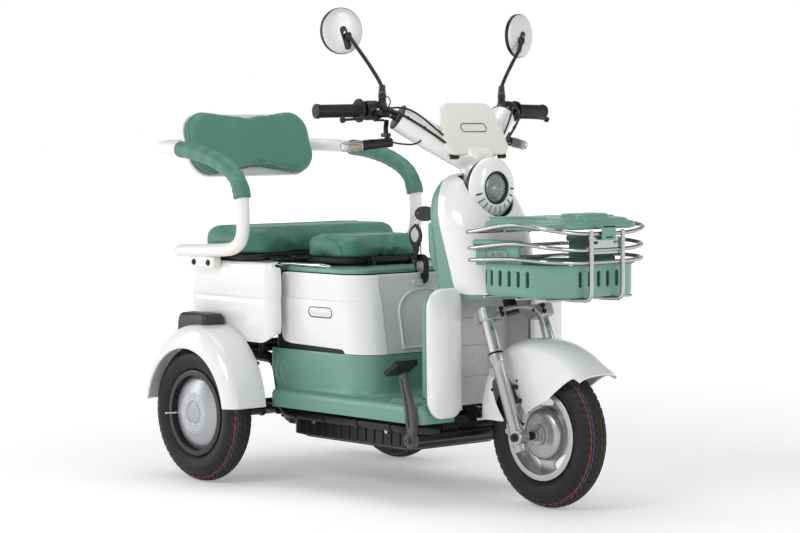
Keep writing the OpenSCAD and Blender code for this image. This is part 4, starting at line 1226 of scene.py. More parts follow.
def headlamp():
    at = (730, 0, 803)
    drum = lathe([(0, 14), (60, 14), (63, 15), (71, 20), (72.6, 24), (72.6, 39), (70, 40.5), (0, 40.5)], at,
                 (1, 0, 0), 96)
    piece("lamp_drum", drum, ["black_plastic"], "chassis", ["headlight_housing"])
    bezel = lathe([(70, 39), (77, 39), (78.8, 40.4), (79, 43), (78.2, 46), (75, 50), (69, 54.4), (60, 58.6),
                   (51, 61.2), (46, 62), (43, 62), (42, 60), (42.6, 54), (60, 50), (70, 44)], at, (1, 0, 0), 120,
                  closed=True)
    slots = []
    for k in range(10):
        turn = math.radians(-15 - 18 * k)
        slot = prism(rounded(48, 68, -2.4, 2.4, 2.3, 4), "z", -20, 20, 0.2)
        m = np.eye(4)
        m[:3, :3] = np.stack([[0, -math.cos(turn), math.sin(turn)], [0, math.sin(turn), math.cos(turn)],
                              [-1, 0, 0]], axis=1)
        m[:3, 3] = (at[0] + 56, 0, at[2])
        slots.append(slot.through(m))
    piece("lamp_bezel", bezel, ["white_cover"], "chassis", (), cuts=[join(slots)],
          bevel=0.7, angle=45)
    piece("lamp_backing", lathe([(43, 50), (70, 42), (70, 39), (43, 40)], at, (1, 0, 0), 64, closed=True),
          ["black_plastic"], "chassis", ())
    rings = lathe([(36, 50), (42.4, 54), (42.6, 61.4), (40.5, 62.6), (37, 61.5), (35.6, 56)], at, (1, 0, 0), 96,
                  closed=True)
    piece("lamp_ring", rings, ["black_plastic"], "chassis", ())
    bowl = lathe([(0, 40), (9, 40.2), (18, 42), (27, 46.4), (34, 52), (36.6, 56)], at, (1, 0, 0), 72)
    piece("lamp_reflector", bowl, ["lamp_bowl"], "chassis", ())
    glass = lathe([(0, 60.6), (14, 60.3), (28, 58.8), (37.4, 56), (37.4, 54.6), (28, 57.2), (14, 58.8), (0, 59.1)],
                  at, (1, 0, 0), 72)
    piece("lamp_glass", glass, ["clear_lens"], "chassis", ["headlight_lens"], angle=60)
    bulb = lathe([(0, 40), (6, 40), (6.4, 44), (7.4, 48), (6.6, 52), (3.6, 54.6), (0, 55.2)], at, (1, 0, 0), 32)
    piece("lamp_bulb", bulb, ["chrome_steel"], "chassis", ())
    ticks = []
    for k in range(24):
        a = k * TAU / 24
        ticks.append(tube([(at[0] + 51.6, 27 * math.cos(a), at[2] + 27 * math.sin(a)),
                           (at[0] + 56.4, 35 * math.cos(a), at[2] + 35 * math.sin(a))], 0.9, 6))
    piece("lamp_facets", join(ticks), ["mirror_back"], "chassis", ())


def cowl():
    corners = [(0, -1), (112, -1), (107, 66), (85, 144), (-85, 144), (-107, 66), (-112, -1), (0, -1)]
    flat = bend([(y, z, 0) for y, z in corners], 34, 12)[:-1, :2]
    rings = []
    for d, h in ((1.2, 0), (0, 1.2), (0, 5.2), (1.2, 7.4), (3.6, 8.8), (8, 9.8), (18, 11), (34, 12), (52, 12.4)):
        rings.append(on_plane(inset_ring(flat, d), "x", h))
    lean = Matrix.Translation((722, 0, 886)) @ Matrix.Rotation(math.radians(-23), 4, "Y")
    piece("cowl_panel", loft(rings).through(lean), ["cream_cover"], "steering", ["cowl_plate"],
          angle=50)
    badge = tube_ring(0, 72, 44, 11.5, 1.4, 12.2, "x").through(lean)
    field = prism(rounded(-39, 39, 63.5, 80.5, 8.2, 8), "x", 11.0, 12.8, 0.5).through(lean)
    piece("cowl_badge", badge, ["badge_ink"], "steering", ())
    piece("cowl_badge_field", field, ["badge_field"], "steering", ())
    tabs = []
    for s in (-1, 1):
        tabs.append(box(-6, 4, s * 84 - 13, s * 84 + 13, -9, 8, 2.0).through(lean))
    tabs.append(box(-34, -2, -30, 30, 40, 74, 4.0).through(lean))
    piece("cowl_tabs", join(tabs), ["black_plastic"], "steering", ())


floor_pan()
seat_housing()
deck()
rear_housing()
rear_fender(-1, "right")
rear_fender(1, "left")
shields()
column()
headlamp()
cowl()


# ------------------------------------------------------------------------ basket
def wavy(ring, low, swing):
    """Lowers a ring's heights by a slow wave along its length."""
    made = np.array(ring, float)
    made[:, 2] += low + swing * np.cos((made[:, 0] - 1020.0) / 150.0 * math.pi)
    return made


def basket_tray():
    levels = [(882, 1148, 153, 78, 541), (876, 1154, 159, 84, 541.6), (871.4, 1158.6, 163.6, 88, 546),
              (870, 1160, 165, 90, 553), (870, 1160, 165, 90, 612), (870, 1160, 165.4, 90, 616),
              (867, 1163, 168, 92, 618), (863.5, 1166.5, 171.5, 96, 618.6), (862, 1168, 173, 98, 620.4),
              (863, 1167, 172, 97, 622), (866, 1164, 169, 94, 622.4), (872.6, 1157.4, 162, 88, 621.6),
              (873.6, 1156.4, 161.4, 86, 616), (874, 1156, 161, 86, 560), (876, 1154, 159, 84, 554),
              (884, 1146, 152, 78, 553)]
    tray = stacked(levels)
    slots = []
    for i in range(6):
        flat = rounded(906 + i * 32, 918 + i * 32, 566, 606, 5.6, 5)
        slots.append(prism(flat, "y", -220, 220, 0.2))
    for i in range(5):
        y = -76 + i * 32
        slots.append(prism(rounded(y, y + 12, 566, 606, 5.6, 5), "x", 1130, 1200, 0.2))
    piece("basket_tray_shell", tray, ["green_cover"], "chassis", ["basket_tray"],
          cuts=[join(slots)], bevel=0.8, angle=42)
    sides = []
    for s in (-1, 1):
        low, high = sorted((s * 161.6, s * 166.0))
        flat = np.vstack([[(890, 616), (1052, 616)], soft([(1052, 630), (1038, 652), (1046, 672)], 2),
                          [(892, 672), (890, 660)]])
        panel = prism(flat, "y", low, high, 1.2)
        oval = on_plane(rounded(926, 1006, 634, 656, 10.6, 8), "y", s * 166.4)
        slot = prism(rounded(948, 984, 641.5, 648.5, 3.3, 5), "y", low - 3, high + 3, 0.2)
        obj = piece("basket_side_" + ("left" if s > 0 else "right"), panel, ["green_cover"], "chassis",
                    (), cuts=[slot], bevel=0.6)
        sides.append(tube(resample(np.vstack([oval, oval[:1]]), 81)[:-1], 1.7, 8, closed=True))
        sides.append(tube([(888, s * 165, 672), (940, s * 165.4, 672.4), (1000, s * 165.4, 672.4), (1050, s * 165, 672)],
                          9.0, 20, 5.0))
    piece("basket_rolls", join(sides), ["green_cover"], "chassis", ())


def hoop_path(z, half, x0, x1, rise, dip):
    r = 96
    return soft([(x0 + 40, half, z), ((x0 + x1) / 2, half, z + rise), (x1 - r, half, z + rise),
                 (x1 - 20, half - 12, z + rise - dip * 0.5), (x1, half - r, z + rise - dip),
                 (x1, 0, z + rise - dip), (x1, r - half, z + rise - dip),
                 (x1 - 20, 12 - half, z + rise - dip * 0.5), (x1 - r, -half, z + rise),
                 ((x0 + x1) / 2, -half, z + rise), (x0 + 40, -half, z), (x0 + 6, -half + 6, z - 2),
                 (x0, -half + 40, z - 3), (x0, half - 40, z - 3), (x0 + 6, half - 6, z - 2),
                 (x0 + 38, half, z)], 3)


def basket_wire():
    parts = []
    for hoop in ((700, 182, 858, 1178, 20, 22), (660, 180, 862, 1176, 14, 16), (630, 180, 864, 1176, 6, 8)):
        path = hoop_path(*hoop)
        parts.append(tube(np.vstack([path, path[:1] + (0.1, 0, 0)]), 5.2, 16))
    for s in (-1, 1):
        parts.append(tube(bend([(1182.5, s * 55, 704), (1183, s * 55, 572), (1181, s * 55, 536), (1130, s * 55, 534.6),
                                (900, s * 55, 535), (861, s * 55, 536)], 22), 5.8, 16, 3.0))
        parts.append(box(859, 869, s * 46 - 2, s * 46 + 2, 690, 717, 0.8))
    for x in (905, 1020, 1120):
        parts.append(tube([(x, -150, 536.5), (x, 150, 536.5)], 4.2, 12, 2.0))
    parts.append(lathe([(0, -47), (3, -47), (3, 47), (0, 47)], (864, 0, 712), (0, 1, 0), 16))
    slots = [prism(rounded(s * 36 - 9, s * 36 + 9, 672.5, 679.5, 3.4, 5), "x", 1165, 1190, 0.2) for s in (-1, 1)]
    piece("basket_wires", join(parts), ["wire_steel"], "chassis", ["basket_frame"])
    plate = prism(rounded(-52, 52, 648, 690, 8, 6), "x", 1174, 1178, 0.8)
    piece("basket_plate", plate, ["wire_steel"], "chassis", (), cuts=[join(slots)])


def basket_lid():
    rings = []
    for d, z in ((9, 712), (7.4, 709), (3, 708), (0.6, 709.6), (0, 712), (0.2, 716), (1.6, 720), (5, 723.6), (10, 725.6),
                 (16, 726.6), (19, 728), (22, 731), (27, 733.2), (40, 734.6), (80, 736), (130, 736.8), (168, 737)):
        scale = min(d, 140.0)
        flat = rounded(874 + min(scale, 142), 1166 - min(scale, 142), -172 + d, 172 - d, max(88 - d, 3.5), 12)
        ring = on_plane(flat, "z", z)
        fade = max(0.0, 1 - d / 30.0)
        ring[:, 2] += fade * 2.6 * np.cos((ring[:, 0] - 1020) / 74.0 * math.pi) * (np.abs(ring[:, 1]) > 110)
        rings.append(ring)
    lid = loft(rings)
    piece("basket_lid_panel", lid, ["green_cover"], "lid", ["basket_lid"], angle=50)
    hump = []
    for d, z in ((0, 722), (0.4, 730), (2, 738), (6, 743), (12, 745.4), (22, 746.4)):
        hump.append(on_plane(rounded(1066 + d, 1150 - d, -62 + d, 62 - d, max(26 - d, 2), 8), "z", z))
    hinge = lathe([(0, -41), (6, -41), (7, -40), (7, 40), (6, 41), (0, 41)], (864, 0, 712), (0, 1, 0), 28)
    ridges = []
    for s in (-1, 1):
        ridges.append(tube(soft([(900, s * 128, 733), (960, s * 140, 735.4), (1040, s * 138, 735.6), (1090, s * 118, 735)], 3),
                           3.0, 10, 2.0, 1.0))
    piece("basket_lid_hump", loft(hump) + hinge + join(ridges) + box(862, 886, -41, 41, 711, 718, 1.5),
          ["green_cover"], "lid", ())
    tongue = [box(1156, 1190, -24, 24, 711, 719, 2.0), box(1186, 1190, -24, 24, 682, 718, 1.6),
              box(1183, 1190, -14, 14, 686, 692, 1.4)]
    piece("basket_latch", join(tongue), ["green_cover"], "lid", ())


# ---------------------------------------------------------------------- cushions
def pad_shape(outline, axis, low, high, edge, crown, steps=7):
    """Crowned closed form on an outline, for a cushion before it is filled."""
    rings = [on_plane(inset_ring(outline, 16), axis, low), on_plane(inset_ring(outline, 4), axis, low)]
    for a in np.linspace(0, math.pi / 2, steps):
        rings.append(on_plane(inset_ring(outline, 1 - math.sin(a) ** 0.5), axis, low + 6 * math.sin(a)))
    for a in np.linspace(0, math.pi / 2, steps):
        rings.append(on_plane(inset_ring(outline, edge * (1 - math.cos(a))), axis, high - edge + edge * math.sin(a)))
    half = (np.ptp(outline, axis=0) / 2).min()
    for share in (0.2, 0.4, 0.6, 0.8, 0.97):
        d = edge + share * (half - edge)
        rings.append(on_plane(inset_ring(outline, d), axis, high + crown * math.sin(share * math.pi / 2)))
    return loft(rings)


def inflate(obj, voxel, pressure, cap):
    """Cloth filled from inside; each point's travel is held to cap metres."""
    add_modifier(obj, "REMESH", mode="VOXEL", voxel_size=voxel)
    settle(obj)
    base = np.empty(len(obj.data.vertices) * 3)
    obj.data.vertices.foreach_get("co", base)
    cloth = obj.modifiers.new("Cloth", "CLOTH")
    s = cloth.settings
    s.quality = 6
    s.mass = 0.25
    s.tension_stiffness = s.compression_stiffness = 30
    s.shear_stiffness = 12
    s.bending_stiffness = 2.0
    s.use_pressure = True
    s.uniform_pressure_force = pressure
    s.effector_weights.gravity = 0
    cloth.collision_settings.use_collision = False
    cloth.point_cache.frame_start = 1
    cloth.point_cache.frame_end = 20
    scene = bpy.context.scene
    for f in range(1, 21):
        scene.frame_set(f)
    graph = bpy.context.evaluated_depsgraph_get()
    done = bpy.data.meshes.new_from_object(obj.evaluated_get(graph), depsgraph=graph)
    obj.modifiers.clear()
    obj.data = done
    scene.frame_set(1)
    now = np.empty(len(done.vertices) * 3)
    done.vertices.foreach_get("co", now)
    base, now = base.reshape(-1, 3), now.reshape(-1, 3)
    step = now - base
    length = np.linalg.norm(step, axis=1, keepdims=True)
    step *= np.minimum(1.0, cap / np.maximum(length, 1e-9))
    done.vertices.foreach_set("co", (base + step).ravel())
    done.update()


def squeeze(obj, low, high):
    """Presses a mesh into a box given in millimetres, so that it rests flat on what holds it."""
    a, b = metres([low])[0], metres([high])[0]
    co = np.empty(len(obj.data.vertices) * 3)
    obj.data.vertices.foreach_get("co", co)
    co = co.reshape(-1, 3)
    co = np.clip(co, a, b)
    obj.data.vertices.foreach_set("co", co.ravel())
    obj.data.update()


def cushion(name, shape, body, node, low, high, voxel=0.006, pressure=4.0, cap=0.022, place=None):
    """Leather cushion filled by cloth simulation, then smoothed; place leans it into position."""
    obj = to_object(name, shape, ["green_leather"])
    tidy_mesh(obj)
    inflate(obj, voxel, pressure, cap)
    squeeze(obj, low, high)
    add_modifier(obj, "SMOOTH", factor=0.5, iterations=4)
    settle(obj)
    add_modifier(obj, "SUBSURF", levels=1, render_levels=1)
    settle(obj)
    if place is not None:
        obj.data.transform(place)
    shade(obj, 60, False)
    obj.data.materials.clear()
    obj.data.materials.append(MAT["green_leather"])
    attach(obj, body)
    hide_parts(node)
    return obj


def laid_on(obj, path):
    """A path drawn onto the nearest surface of a piece."""
    made = []
    for p in metres(path):
        hit, where, _, _ = obj.closest_point_on_mesh(Vector(p))
        made.append(np.array(where) * 1000 + (MID_X, 0, 0))
    return np.array(made)


def seam(name, paths, body, radius=1.2, mat="green_thread"):
    parts = [tube(p, radius, 8, closed=False) for p in paths]
    piece(name, join(parts), [mat], body, ())


def seats():
    rear = rounded(-124, 119, -274, 274, 54, 12)
    rear_pad = cushion("rear_seat_pad", pad_shape(rear, "z", 617.6, 684, 26, 4.0), "rear_seat", "rear_seat_cushion",
            (-125, -275, 617.5), (120, 275, 690), 0.006, 4.0, 0.022)
    front = rounded(176, 364, -149, 149, 52, 12)
    front_pad = cushion("front_seat_pad", pad_shape(front, "z", 611.6, 665, 22, 3.5), "front_seat", "front_seat_cushion",
            (175, -150, 611.5), (365, 150, 670), 0.005, 4.0, 0.022)
    lines = []
    for s in (-1, 1):
        arc = soft([(-46, s * 262, 700), (-8, s * 276, 692), (34, s * 280, 678), (62, s * 282, 652), (70, s * 282, 622)], 4)
        lines.append(laid_on(rear_pad, resample(arc, 60)))
        arc = soft([(-46, s * 262, 700), (-46, s * 200, 702), (-46, s * 120, 704), (-46, 0, 704)], 3)
        lines.append(laid_on(rear_pad, resample(arc, 60)))
    seam("rear_seat_seams", lines, "rear_seat")
    lines = []
    for s in (-1, 1):
        arc = soft([(262, s * 138, 680), (292, s * 152, 674), (326, s * 156, 658), (346, s * 158, 634), (352, s * 158, 616)], 4)
        lines.append(laid_on(front_pad, resample(arc, 50)))
        arc = soft([(262, s * 138, 680), (256, s * 100, 684), (254, s * 50, 686), (253, 0, 686)], 3)
        lines.append(laid_on(front_pad, resample(arc, 40)))
    seam("front_seat_seams", lines, "front_seat")
    base = crowned(-122, 118, 271, 46, 600, 617.4, 4, 0.2)
    hinges = []
    for s in (-1, 1):
        hinges.append(lathe([(10.2, -10), (14, -10), (15, -9), (15, 9), (14, 10), (10.2, 10)], (140, s * 150, 597),
                            (0, 1, 0), 32, closed=True))
        low, high = sorted((s * 140.5, s * 159.5))
        hinges.append(box(108, 140, low, high, 603, 612, 1.5))
    piece("rear_seat_pan", base + join(hinges), ["black_plastic"], "rear_seat", ["rear_seat_base"])
    rim = on_plane(inset_ring(rounded(-122, 118, -271, 271, 46, 12), -0.6), "z", 607)
    piece("rear_seat_rim", tube(resample(np.vstack([rim, rim[:1]]), 200), 2.2, 8), ["grey_plastic"], "rear_seat",
          ())
    base = crowned(178, 362, 146, 46, 596, 611.4, 3.5, 0.2)
    knuckles = [lathe([(5.2, -60), (8, -60), (9, -59), (9, 59), (8, 60), (5.2, 60)], (376, 0, 604), (0, 1, 0), 28,
                      closed=True), box(348, 377, -58, 58, 599.6, 608, 1.5)]
    piece("front_seat_pan", base + join(knuckles), ["black_plastic"], "front_seat", ["front_seat_base"])
    rim = on_plane(inset_ring(rounded(178, 362, -146, 146, 46, 12), -0.6), "z", 602)
    piece("front_seat_rim", tube(resample(np.vstack([rim, rim[:1]]), 180), 2.0, 8), ["grey_plastic"], "front_seat",
          ())


# ----------------------------------------------------------- armrests and backrest
ARM_Y = 310.0
ARM_PATH = [(-150, ARM_Y, 621), (46, ARM_Y, 628), (100, ARM_Y, 636), (130, ARM_Y, 665), (133, ARM_Y, 726),
            (128, ARM_Y, 790), (96, ARM_Y, 838), (20, ARM_Y, 872), (-70, ARM_Y, 893), (-150, ARM_Y, 901),
            (-235, ARM_Y, 906), (-285, ARM_Y - 45, 908), (-292, ARM_Y - 110, 908), (-292, 0, 908)]
BACK_LEAN = Matrix.Translation((-212, 0, 924)) @ Matrix.Rotation(math.radians(-20), 4, "Y")


def metre_matrix(matrix):
    """The same placing for a mesh that is already in metres of the row frame."""
    to_mm = Matrix.Translation((MID_X, 0, 0)) @ Matrix.Scale(1000, 4)
    return to_mm.inverted() @ matrix @ to_mm


def armrests():
    path = resample(soft(mirror_path(ARM_PATH), 3), 260)
    piece("armrest_tube", tube(path, 18, 28, 5.0), ["white_tube"], "chassis", ["armrest_frame"],
          angle=50)
    half = soft(ARM_PATH, 3)
    d = np.concatenate([[0], np.cumsum(np.linalg.norm(np.diff(half, axis=0), axis=1))])
    start = np.interp(0, [0, 1], [410, 411])
    wraps, cuffs, ends = [], [], []
    length, bands = 300.0, 11
    def at(t):
        return np.array([np.interp(t, d, half[:, k]) for k in range(3)])
    for s in (-1, 1):
        for k in range(bands):
            a = start + k * length / bands
            b = a + length / bands + 4.0
            p = np.array([at(a + (b - a) * i / 12) for i in range(13)])
            p[:, 1] *= s
            u = np.linspace(0, 1, 13)
            r = 21.6 + 2.0 * u ** 0.7 * (1 - np.clip((u - 0.86) / 0.14, 0, 1) ** 2 * 0.9)
            wraps.append(tilted_tube(p, r, 0.22 * s).paint(k % 2))
        p = np.array([at(start - 13 + 26 * i / 8) for i in range(9)]) * [1, s, 1]
        cuffs.append(tube(p, 24.2, 28, 3.0))
        p = np.array([at(start + length - 4 + 16 * i / 6) for i in range(7)]) * [1, s, 1]
        cuffs.append(tube(p, 22.4, 28, 2.0))
        cap = at(0) * [1, s, 1]
        ends.append(lathe([(0, -6.2), (13, -6.2), (16.4, -5), (17.6, -2.4), (17.6, 2), (0, 2)], cap, (1, 0, 0), 28))
        spot = at(205) * [1, s, 1] + (16.0, 0, 0)
        ends.append(bolt(spot, (1, 0, 0.1), 4.0, 3.4))
    piece("armrest_wraps", join(wraps), ["green_wrap", "green_leather"], "chassis", ["armrest_sleeves"],
          angle=50)
    piece("armrest_cuffs", join(cuffs), ["green_wrap"], "chassis", ())
    piece("armrest_ends", join(ends), ["black_plastic"], "chassis", ())


def tilted_tube(path, radii, lean):
    """Tube whose rings lean over, as a spiral wrap lies on its tube."""
    p, t, n, b = frames_along(path)
    angles = np.arange(28) * TAU / 28
    rings = []
    for i in range(len(p)):
        ring = p[i] + radii[i] * (np.outer(np.cos(angles), n[i]) + np.outer(np.sin(angles), b[i]))
        rings.append(ring + np.outer(np.cos(angles) * radii[i] * lean, t[i]))
    return loft(rings)


def backrest():
    outline = rounded(-217, 217, -93, 93, 64, 14)
    shape = pad_shape(outline, "x", -43.5, -3, 15, 3.0)
    pad = cushion("backrest_pad", shape, "chassis", "backrest_cushion", (-44, -218, -94), (0.5, 218, 94), 0.005, 4.0,
            0.024, metre_matrix(BACK_LEAN))
    rings = []
    for dd, x in ((16, -58), (6, -58), (2.6, -56.6), (0.6, -53), (-0.4, -48), (-0.6, -44), (0.8, -41.6), (5, -42), (12, -44)):
        rings.append(on_plane(inset_ring(outline, dd), "x", x))
    bolts = []
    for y in (-128, 128):
        for z in (-36, 34):
            bolts.append(bolt((-57.6, y, z), (-1, 0, 0), 6, 4.5).through(BACK_LEAN))
    piece("backrest_back", loft(rings).through(BACK_LEAN), ["white_cover"], "chassis", ["backrest_shell"],
          angle=50)
    piece("backrest_bolts", join(bolts), ["black_steel"], "chassis", ())
    brackets = []
    for s in (-1, 1):
        low, high = sorted((s * 100, s * 140))
        brackets.append(box(-292, -262, low, high, 897, 919, 3.0))
        brackets.append(prism(rounded(low, high, -60, 44, 8, 5), "x", -63, -57.4, 1.5).through(BACK_LEAN))
    piece("backrest_brackets", join(brackets), ["white_tube"], "chassis", ())
    lines = []
    for x, grow in ((-19, -3.0), (-40, -2.0)):
        ring = on_plane(inset_ring(outline, grow), "x", x)
        ring = Shape(np.vstack([ring, ring[:1]])).through(BACK_LEAN).v
        lines.append(laid_on(pad, resample(ring, 220)))
    seam("backrest_seams", lines, "chassis", 1.5)


basket_tray()
basket_wire()
basket_lid()
seats()
armrests()
backrest()


# ---------------------------------------------------------------- steering group
def axis_x(z):
    return YOKE[0] - (z - YOKE[2]) * math.tan(RAKE)


GRIP_IN = np.array([574.0, 268.0, 1002.0])
GRIP_OUT = np.array([553.0, 402.0, 1000.0])
ALONG_GRIP = unit(GRIP_OUT - GRIP_IN)


def on_line(t):
    return GRIP_IN + t * (GRIP_OUT - GRIP_IN)


BAR_PATH = [on_line(0.93), on_line(-0.02), on_line(-0.15), (586, 214, 1000), (606, 190, 993), (640, 140, 956),
            (669, 90, 922), (692, 40, 899), (axis_x(892), 0, 892)]
ARM_IN = [(620, 183, 984), (640, 140, 955), (668, 90, 922), (axis_x(890), 34, 888), (axis_x(876), 0, 876)]


def stem_cover():
    arms = resample(soft(mirror_path(ARM_IN), 3), 90)
    middle = np.abs(arms[:, 1]) / 183.0
    shape = tube(arms, 37.5 - 2.5 * middle, 36, 3.0)
    trunk = resample([np.array(YOKE) + LEAN * 352, np.array(YOKE) + LEAN * 436], 12)
    swell = np.interp(np.arange(12), [0, 4, 8, 11], [43, 40, 37, 35])
    shape = shape + tube(trunk, swell, 40, 8.0)
    obj = to_object("stem_shroud", shape, ["white_cover"])
    tidy_mesh(obj)
    add_modifier(obj, "REMESH", mode="VOXEL", voxel_size=0.003)
    add_modifier(obj, "SMOOTH", factor=0.6, iterations=14)
    settle(obj)
    shade(obj, 60, False)
    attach(obj, "steering")
    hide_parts("stem_cover")
    parts, lines = [], []
    for s in (-1, 1):
        end = np.array([620, s * 183, 984.0])
        way = unit(end - np.array([640, s * 140, 955.0]))
        parts.append(lathe([(12, 1), (30, 0.5), (34.5, 0), (35.4, 1.6), (34, 3.8), (22, 4.8), (12, 4)], end, way, 48,
                           closed=True))
        parts.append(bolt(np.array([676.0, s * 92, 889.0]), (0.72, 0.0, -0.69), 4.2, 3.0))
    piece("stem_end_rings", join(parts), ["black_plastic"], "steering", ())
    for s in (-1, 1):
        path = [np.array([x + 31, y * s, z + 17]) for x, y, z in soft(ARM_IN, 3)[:-4]]
        lines.append(tube(resample(path, 40), 0.9, 6))
    # Seam lines drawn in the painted-shade white: the shade in the seams is painted as a grey line.
    piece("stem_seams", join(lines), ["white_painted_shade"], "steering", ())


def handlebar():
    path = resample(soft(mirror_path(BAR_PATH), 3), 240)
    piece("handlebar_tube", tube(path, 11, 28, 2.0), ["black_steel"], "steering", ["handlebar"],
          angle=50)


def grip_shape(flange, flutes):
    """A grip along the left bar end; its surface has fine lengthwise flutes."""
    stations = [(4, flange - 2), (5, flange), (10, flange), (12.4, flange - 2.4), (13.4, 20), (15, 17.4)]
    count = 34 if flutes else 26
    for k in range(count):
        a = 18 + (124 - 18) * k / (count - 1)
        stations.append((a, 16.8 + (0.0 if flutes else 0.7 * (k % 2))))
    stations += [(126, 17.6), (129, 18.8), (134, 19), (136, 18.2), (137, 15), (137.2, 0.4)]
    r = basis(ALONG_GRIP)
    rings = []
    turns = np.arange(96) * TAU / 96
    for h, radius in stations:
        ripple = 0.55 * (np.arange(96) % 4 < 2) if flutes and 17 < h < 125 else np.zeros(96)
        q = radius - ripple
        flat = np.stack([q * np.cos(turns), q * np.sin(turns), np.full(96, h)], axis=1)
        rings.append(flat @ r.T + GRIP_IN)
    inner = []
    for h in (137.2, 4):
        flat = np.stack([11.5 * np.cos(turns), 11.5 * np.sin(turns), np.full(96, h - 1.5)], axis=1)
        inner.append(flat @ r.T + GRIP_IN)
    return loft(rings)


def grips():
    piece("grip_left", grip_shape(26, False), ["grip_rubber"], "steering", ["left_grip"])
    piece("grip_right", grip_shape(30, True).mirrored(), ["grip_rubber"], "throttle", ["throttle_grip"])


def switchgear():
    pods, bolts, nuts, clips = [], [], [], []
    for s in (-1, 1):
        m = np.eye(4)
        m[:3, :3] = basis(ALONG_GRIP * [1, s, 1])
        centre = on_line(-0.2) * [1, s, 1]
        pod = lathe([(11.2, -20), (20, -20), (23.5, -18), (25, -14), (25.4, -3), (25, -1.4), (25, 0.4),
                     (25.4, 2), (25, 14), (23, 18), (19, 20), (11.2, 20)], centre, ALONG_GRIP * [1, s, 1], 48,
                    closed=True)
        low, high = sorted((s * 226.0, s * 259.0))
        block = prism(rounded(556, 600, low, high, 9, 6), "z", 982, 1017.6, 5.0, 5)
        pods += [pod, block]
        low, high = sorted((s * 200.0, s * 224.0))
        clips.append(prism(rounded(582, 616, low, high, 8, 6), "z", 984, 1012, 4.0, 4))
        low, high = sorted((s * 228.0, s * 252.0))
        clips.append(prism(rounded(594, 623, low, high, 9, 6), "z", 989, 1003, 2.5))
        clips.append(prism(rounded(596, 622, low, high, 9, 6), "z", 974, 980, 1.6))
        clips.append(lathe([(0, 984), (8, 984), (10.4, 986), (10.4, 1030), (9, 1031), (9, 1032.4), (10.4, 1033),
                            (10.4, 1043), (9.6, 1044), (5.2, 1044), (5.2, 1040)], (589, s * 211, 0), (0, 0, 1), 32))
        nuts.append(hexagon((589, s * 211, 1012), (0, 0, 1), 13, 9))
        nuts.append(hexagon((589, s * 211, 1044.2), (0, 0, 1), 10, 9))
        nuts.append(lathe([(5.1, 0), (8.4, 0), (8.8, 1), (8.2, 12), (6, 15), (5.1, 15)], (589, s * 211, 1053),
                          (0, 0, 1), 28, closed=True))
        bolts.append(bolt((606, s * 240, 1002.6), (0, 0, 1), 5.4, 4.0))
        bolts.append(bolt((592, s * 252, 981.6), (0, 0, -1), 3.2, 2.6))
        for z in (990, 1008):
            bolts.append(bolt((615.4, s * 206, z), (1, 0, 0), 3.4, 3.2))
    wells = []
    for s in (-1, 1):
        wells.append(lathe([(0, 1013.4), (7.7, 1013.4), (7.7, 1030), (0, 1030)], (575, s * 240, 0), (0, 0, 1), 32))
    piece("switch_pods", join(pods), ["black_plastic"], "steering", ["control_housings"], cuts=wells)
    piece("bar_clamps", join(clips), ["black_plastic"], "steering", ())
    piece("bar_nuts", join(nuts), ["black_steel"], "steering", ())
    piece("bar_bolts", join(bolts), ["spring_steel"], "steering", ())
    button = lathe([(0, 0.9), (6.6, 0.9), (7, 1.5), (7, 7), (6.2, 8.6), (4, 9.2), (0, 9.4)], (575, 240, 1015.8), (0, 0, 1),
                   32)
    piece("horn_cap", button, ["orange_plastic"], "horn_press", ["horn_button"])
    piece("mode_cap", button.mirrored(), ["lime_plastic"], "mode_press", ["mode_button"])
    round_cap = lathe([(0, 0), (4.6, 0), (5, 0.6), (5, 10), (4.2, 11.6), (2.6, 12.2), (0, 12.4)], (571, -250, 985),
                      (-1, 0, 0), 28)
    piece("light_cap", round_cap, ["orange_plastic"], "light_press", ["light_button"])
    slide = [box(560, 574, -246, -240, 1016, 1021, 1.2), box(584, 592, -250, -244, 1016, 1021, 1.2)]
    piece("switch_slides", join(slide), ["orange_plastic"], "steering", ())
    hook = bend([(596, -200, 1006), (612, -202, 1024), (606, -205, 1038), (590, -208, 1034), (584, -212, 1016)], 8)
    piece("wire_hook", tube(hook, 1.6, 10, 0.8), ["rust_wire"], "steering", ())


def levers():
    blade = resample(soft([(611, 246, 984.2), (622, 262, 984), (626, 300, 982.4), (617, 336, 980),
                           (609, 358, 978)], 3), 48)
    radius = np.interp(np.linspace(0, 1, 48), [0, 0.1, 0.5, 0.9, 1], [5.6, 4.6, 3.9, 3.6, 3.2])
    shape = tube(blade, radius, 18, 1.4, 1.35)
    ball = [(0, -8)]
    for a in np.linspace(-80, 80, 15):
        ball.append((8 * math.cos(math.radians(a)), 8 * math.sin(math.radians(a))))
    ball.append((0, 8))
    shape = shape + lathe(ball, (609, 360, 978), (0, 1, 0), 28)
    shape = shape + lathe([(3.3, 981.2), (8, 981.2), (9, 982), (9, 986.8), (8, 987.6), (3.3, 987.6)],
                          (606, 240, 0), (0, 0, 1), 32, closed=True)
    piece("lever_left", shape, ["black_steel"], "lever_left", ["brake_lever_left"])
    piece("lever_right", shape.mirrored(), ["black_steel"], "lever_right", ["brake_lever_right"])


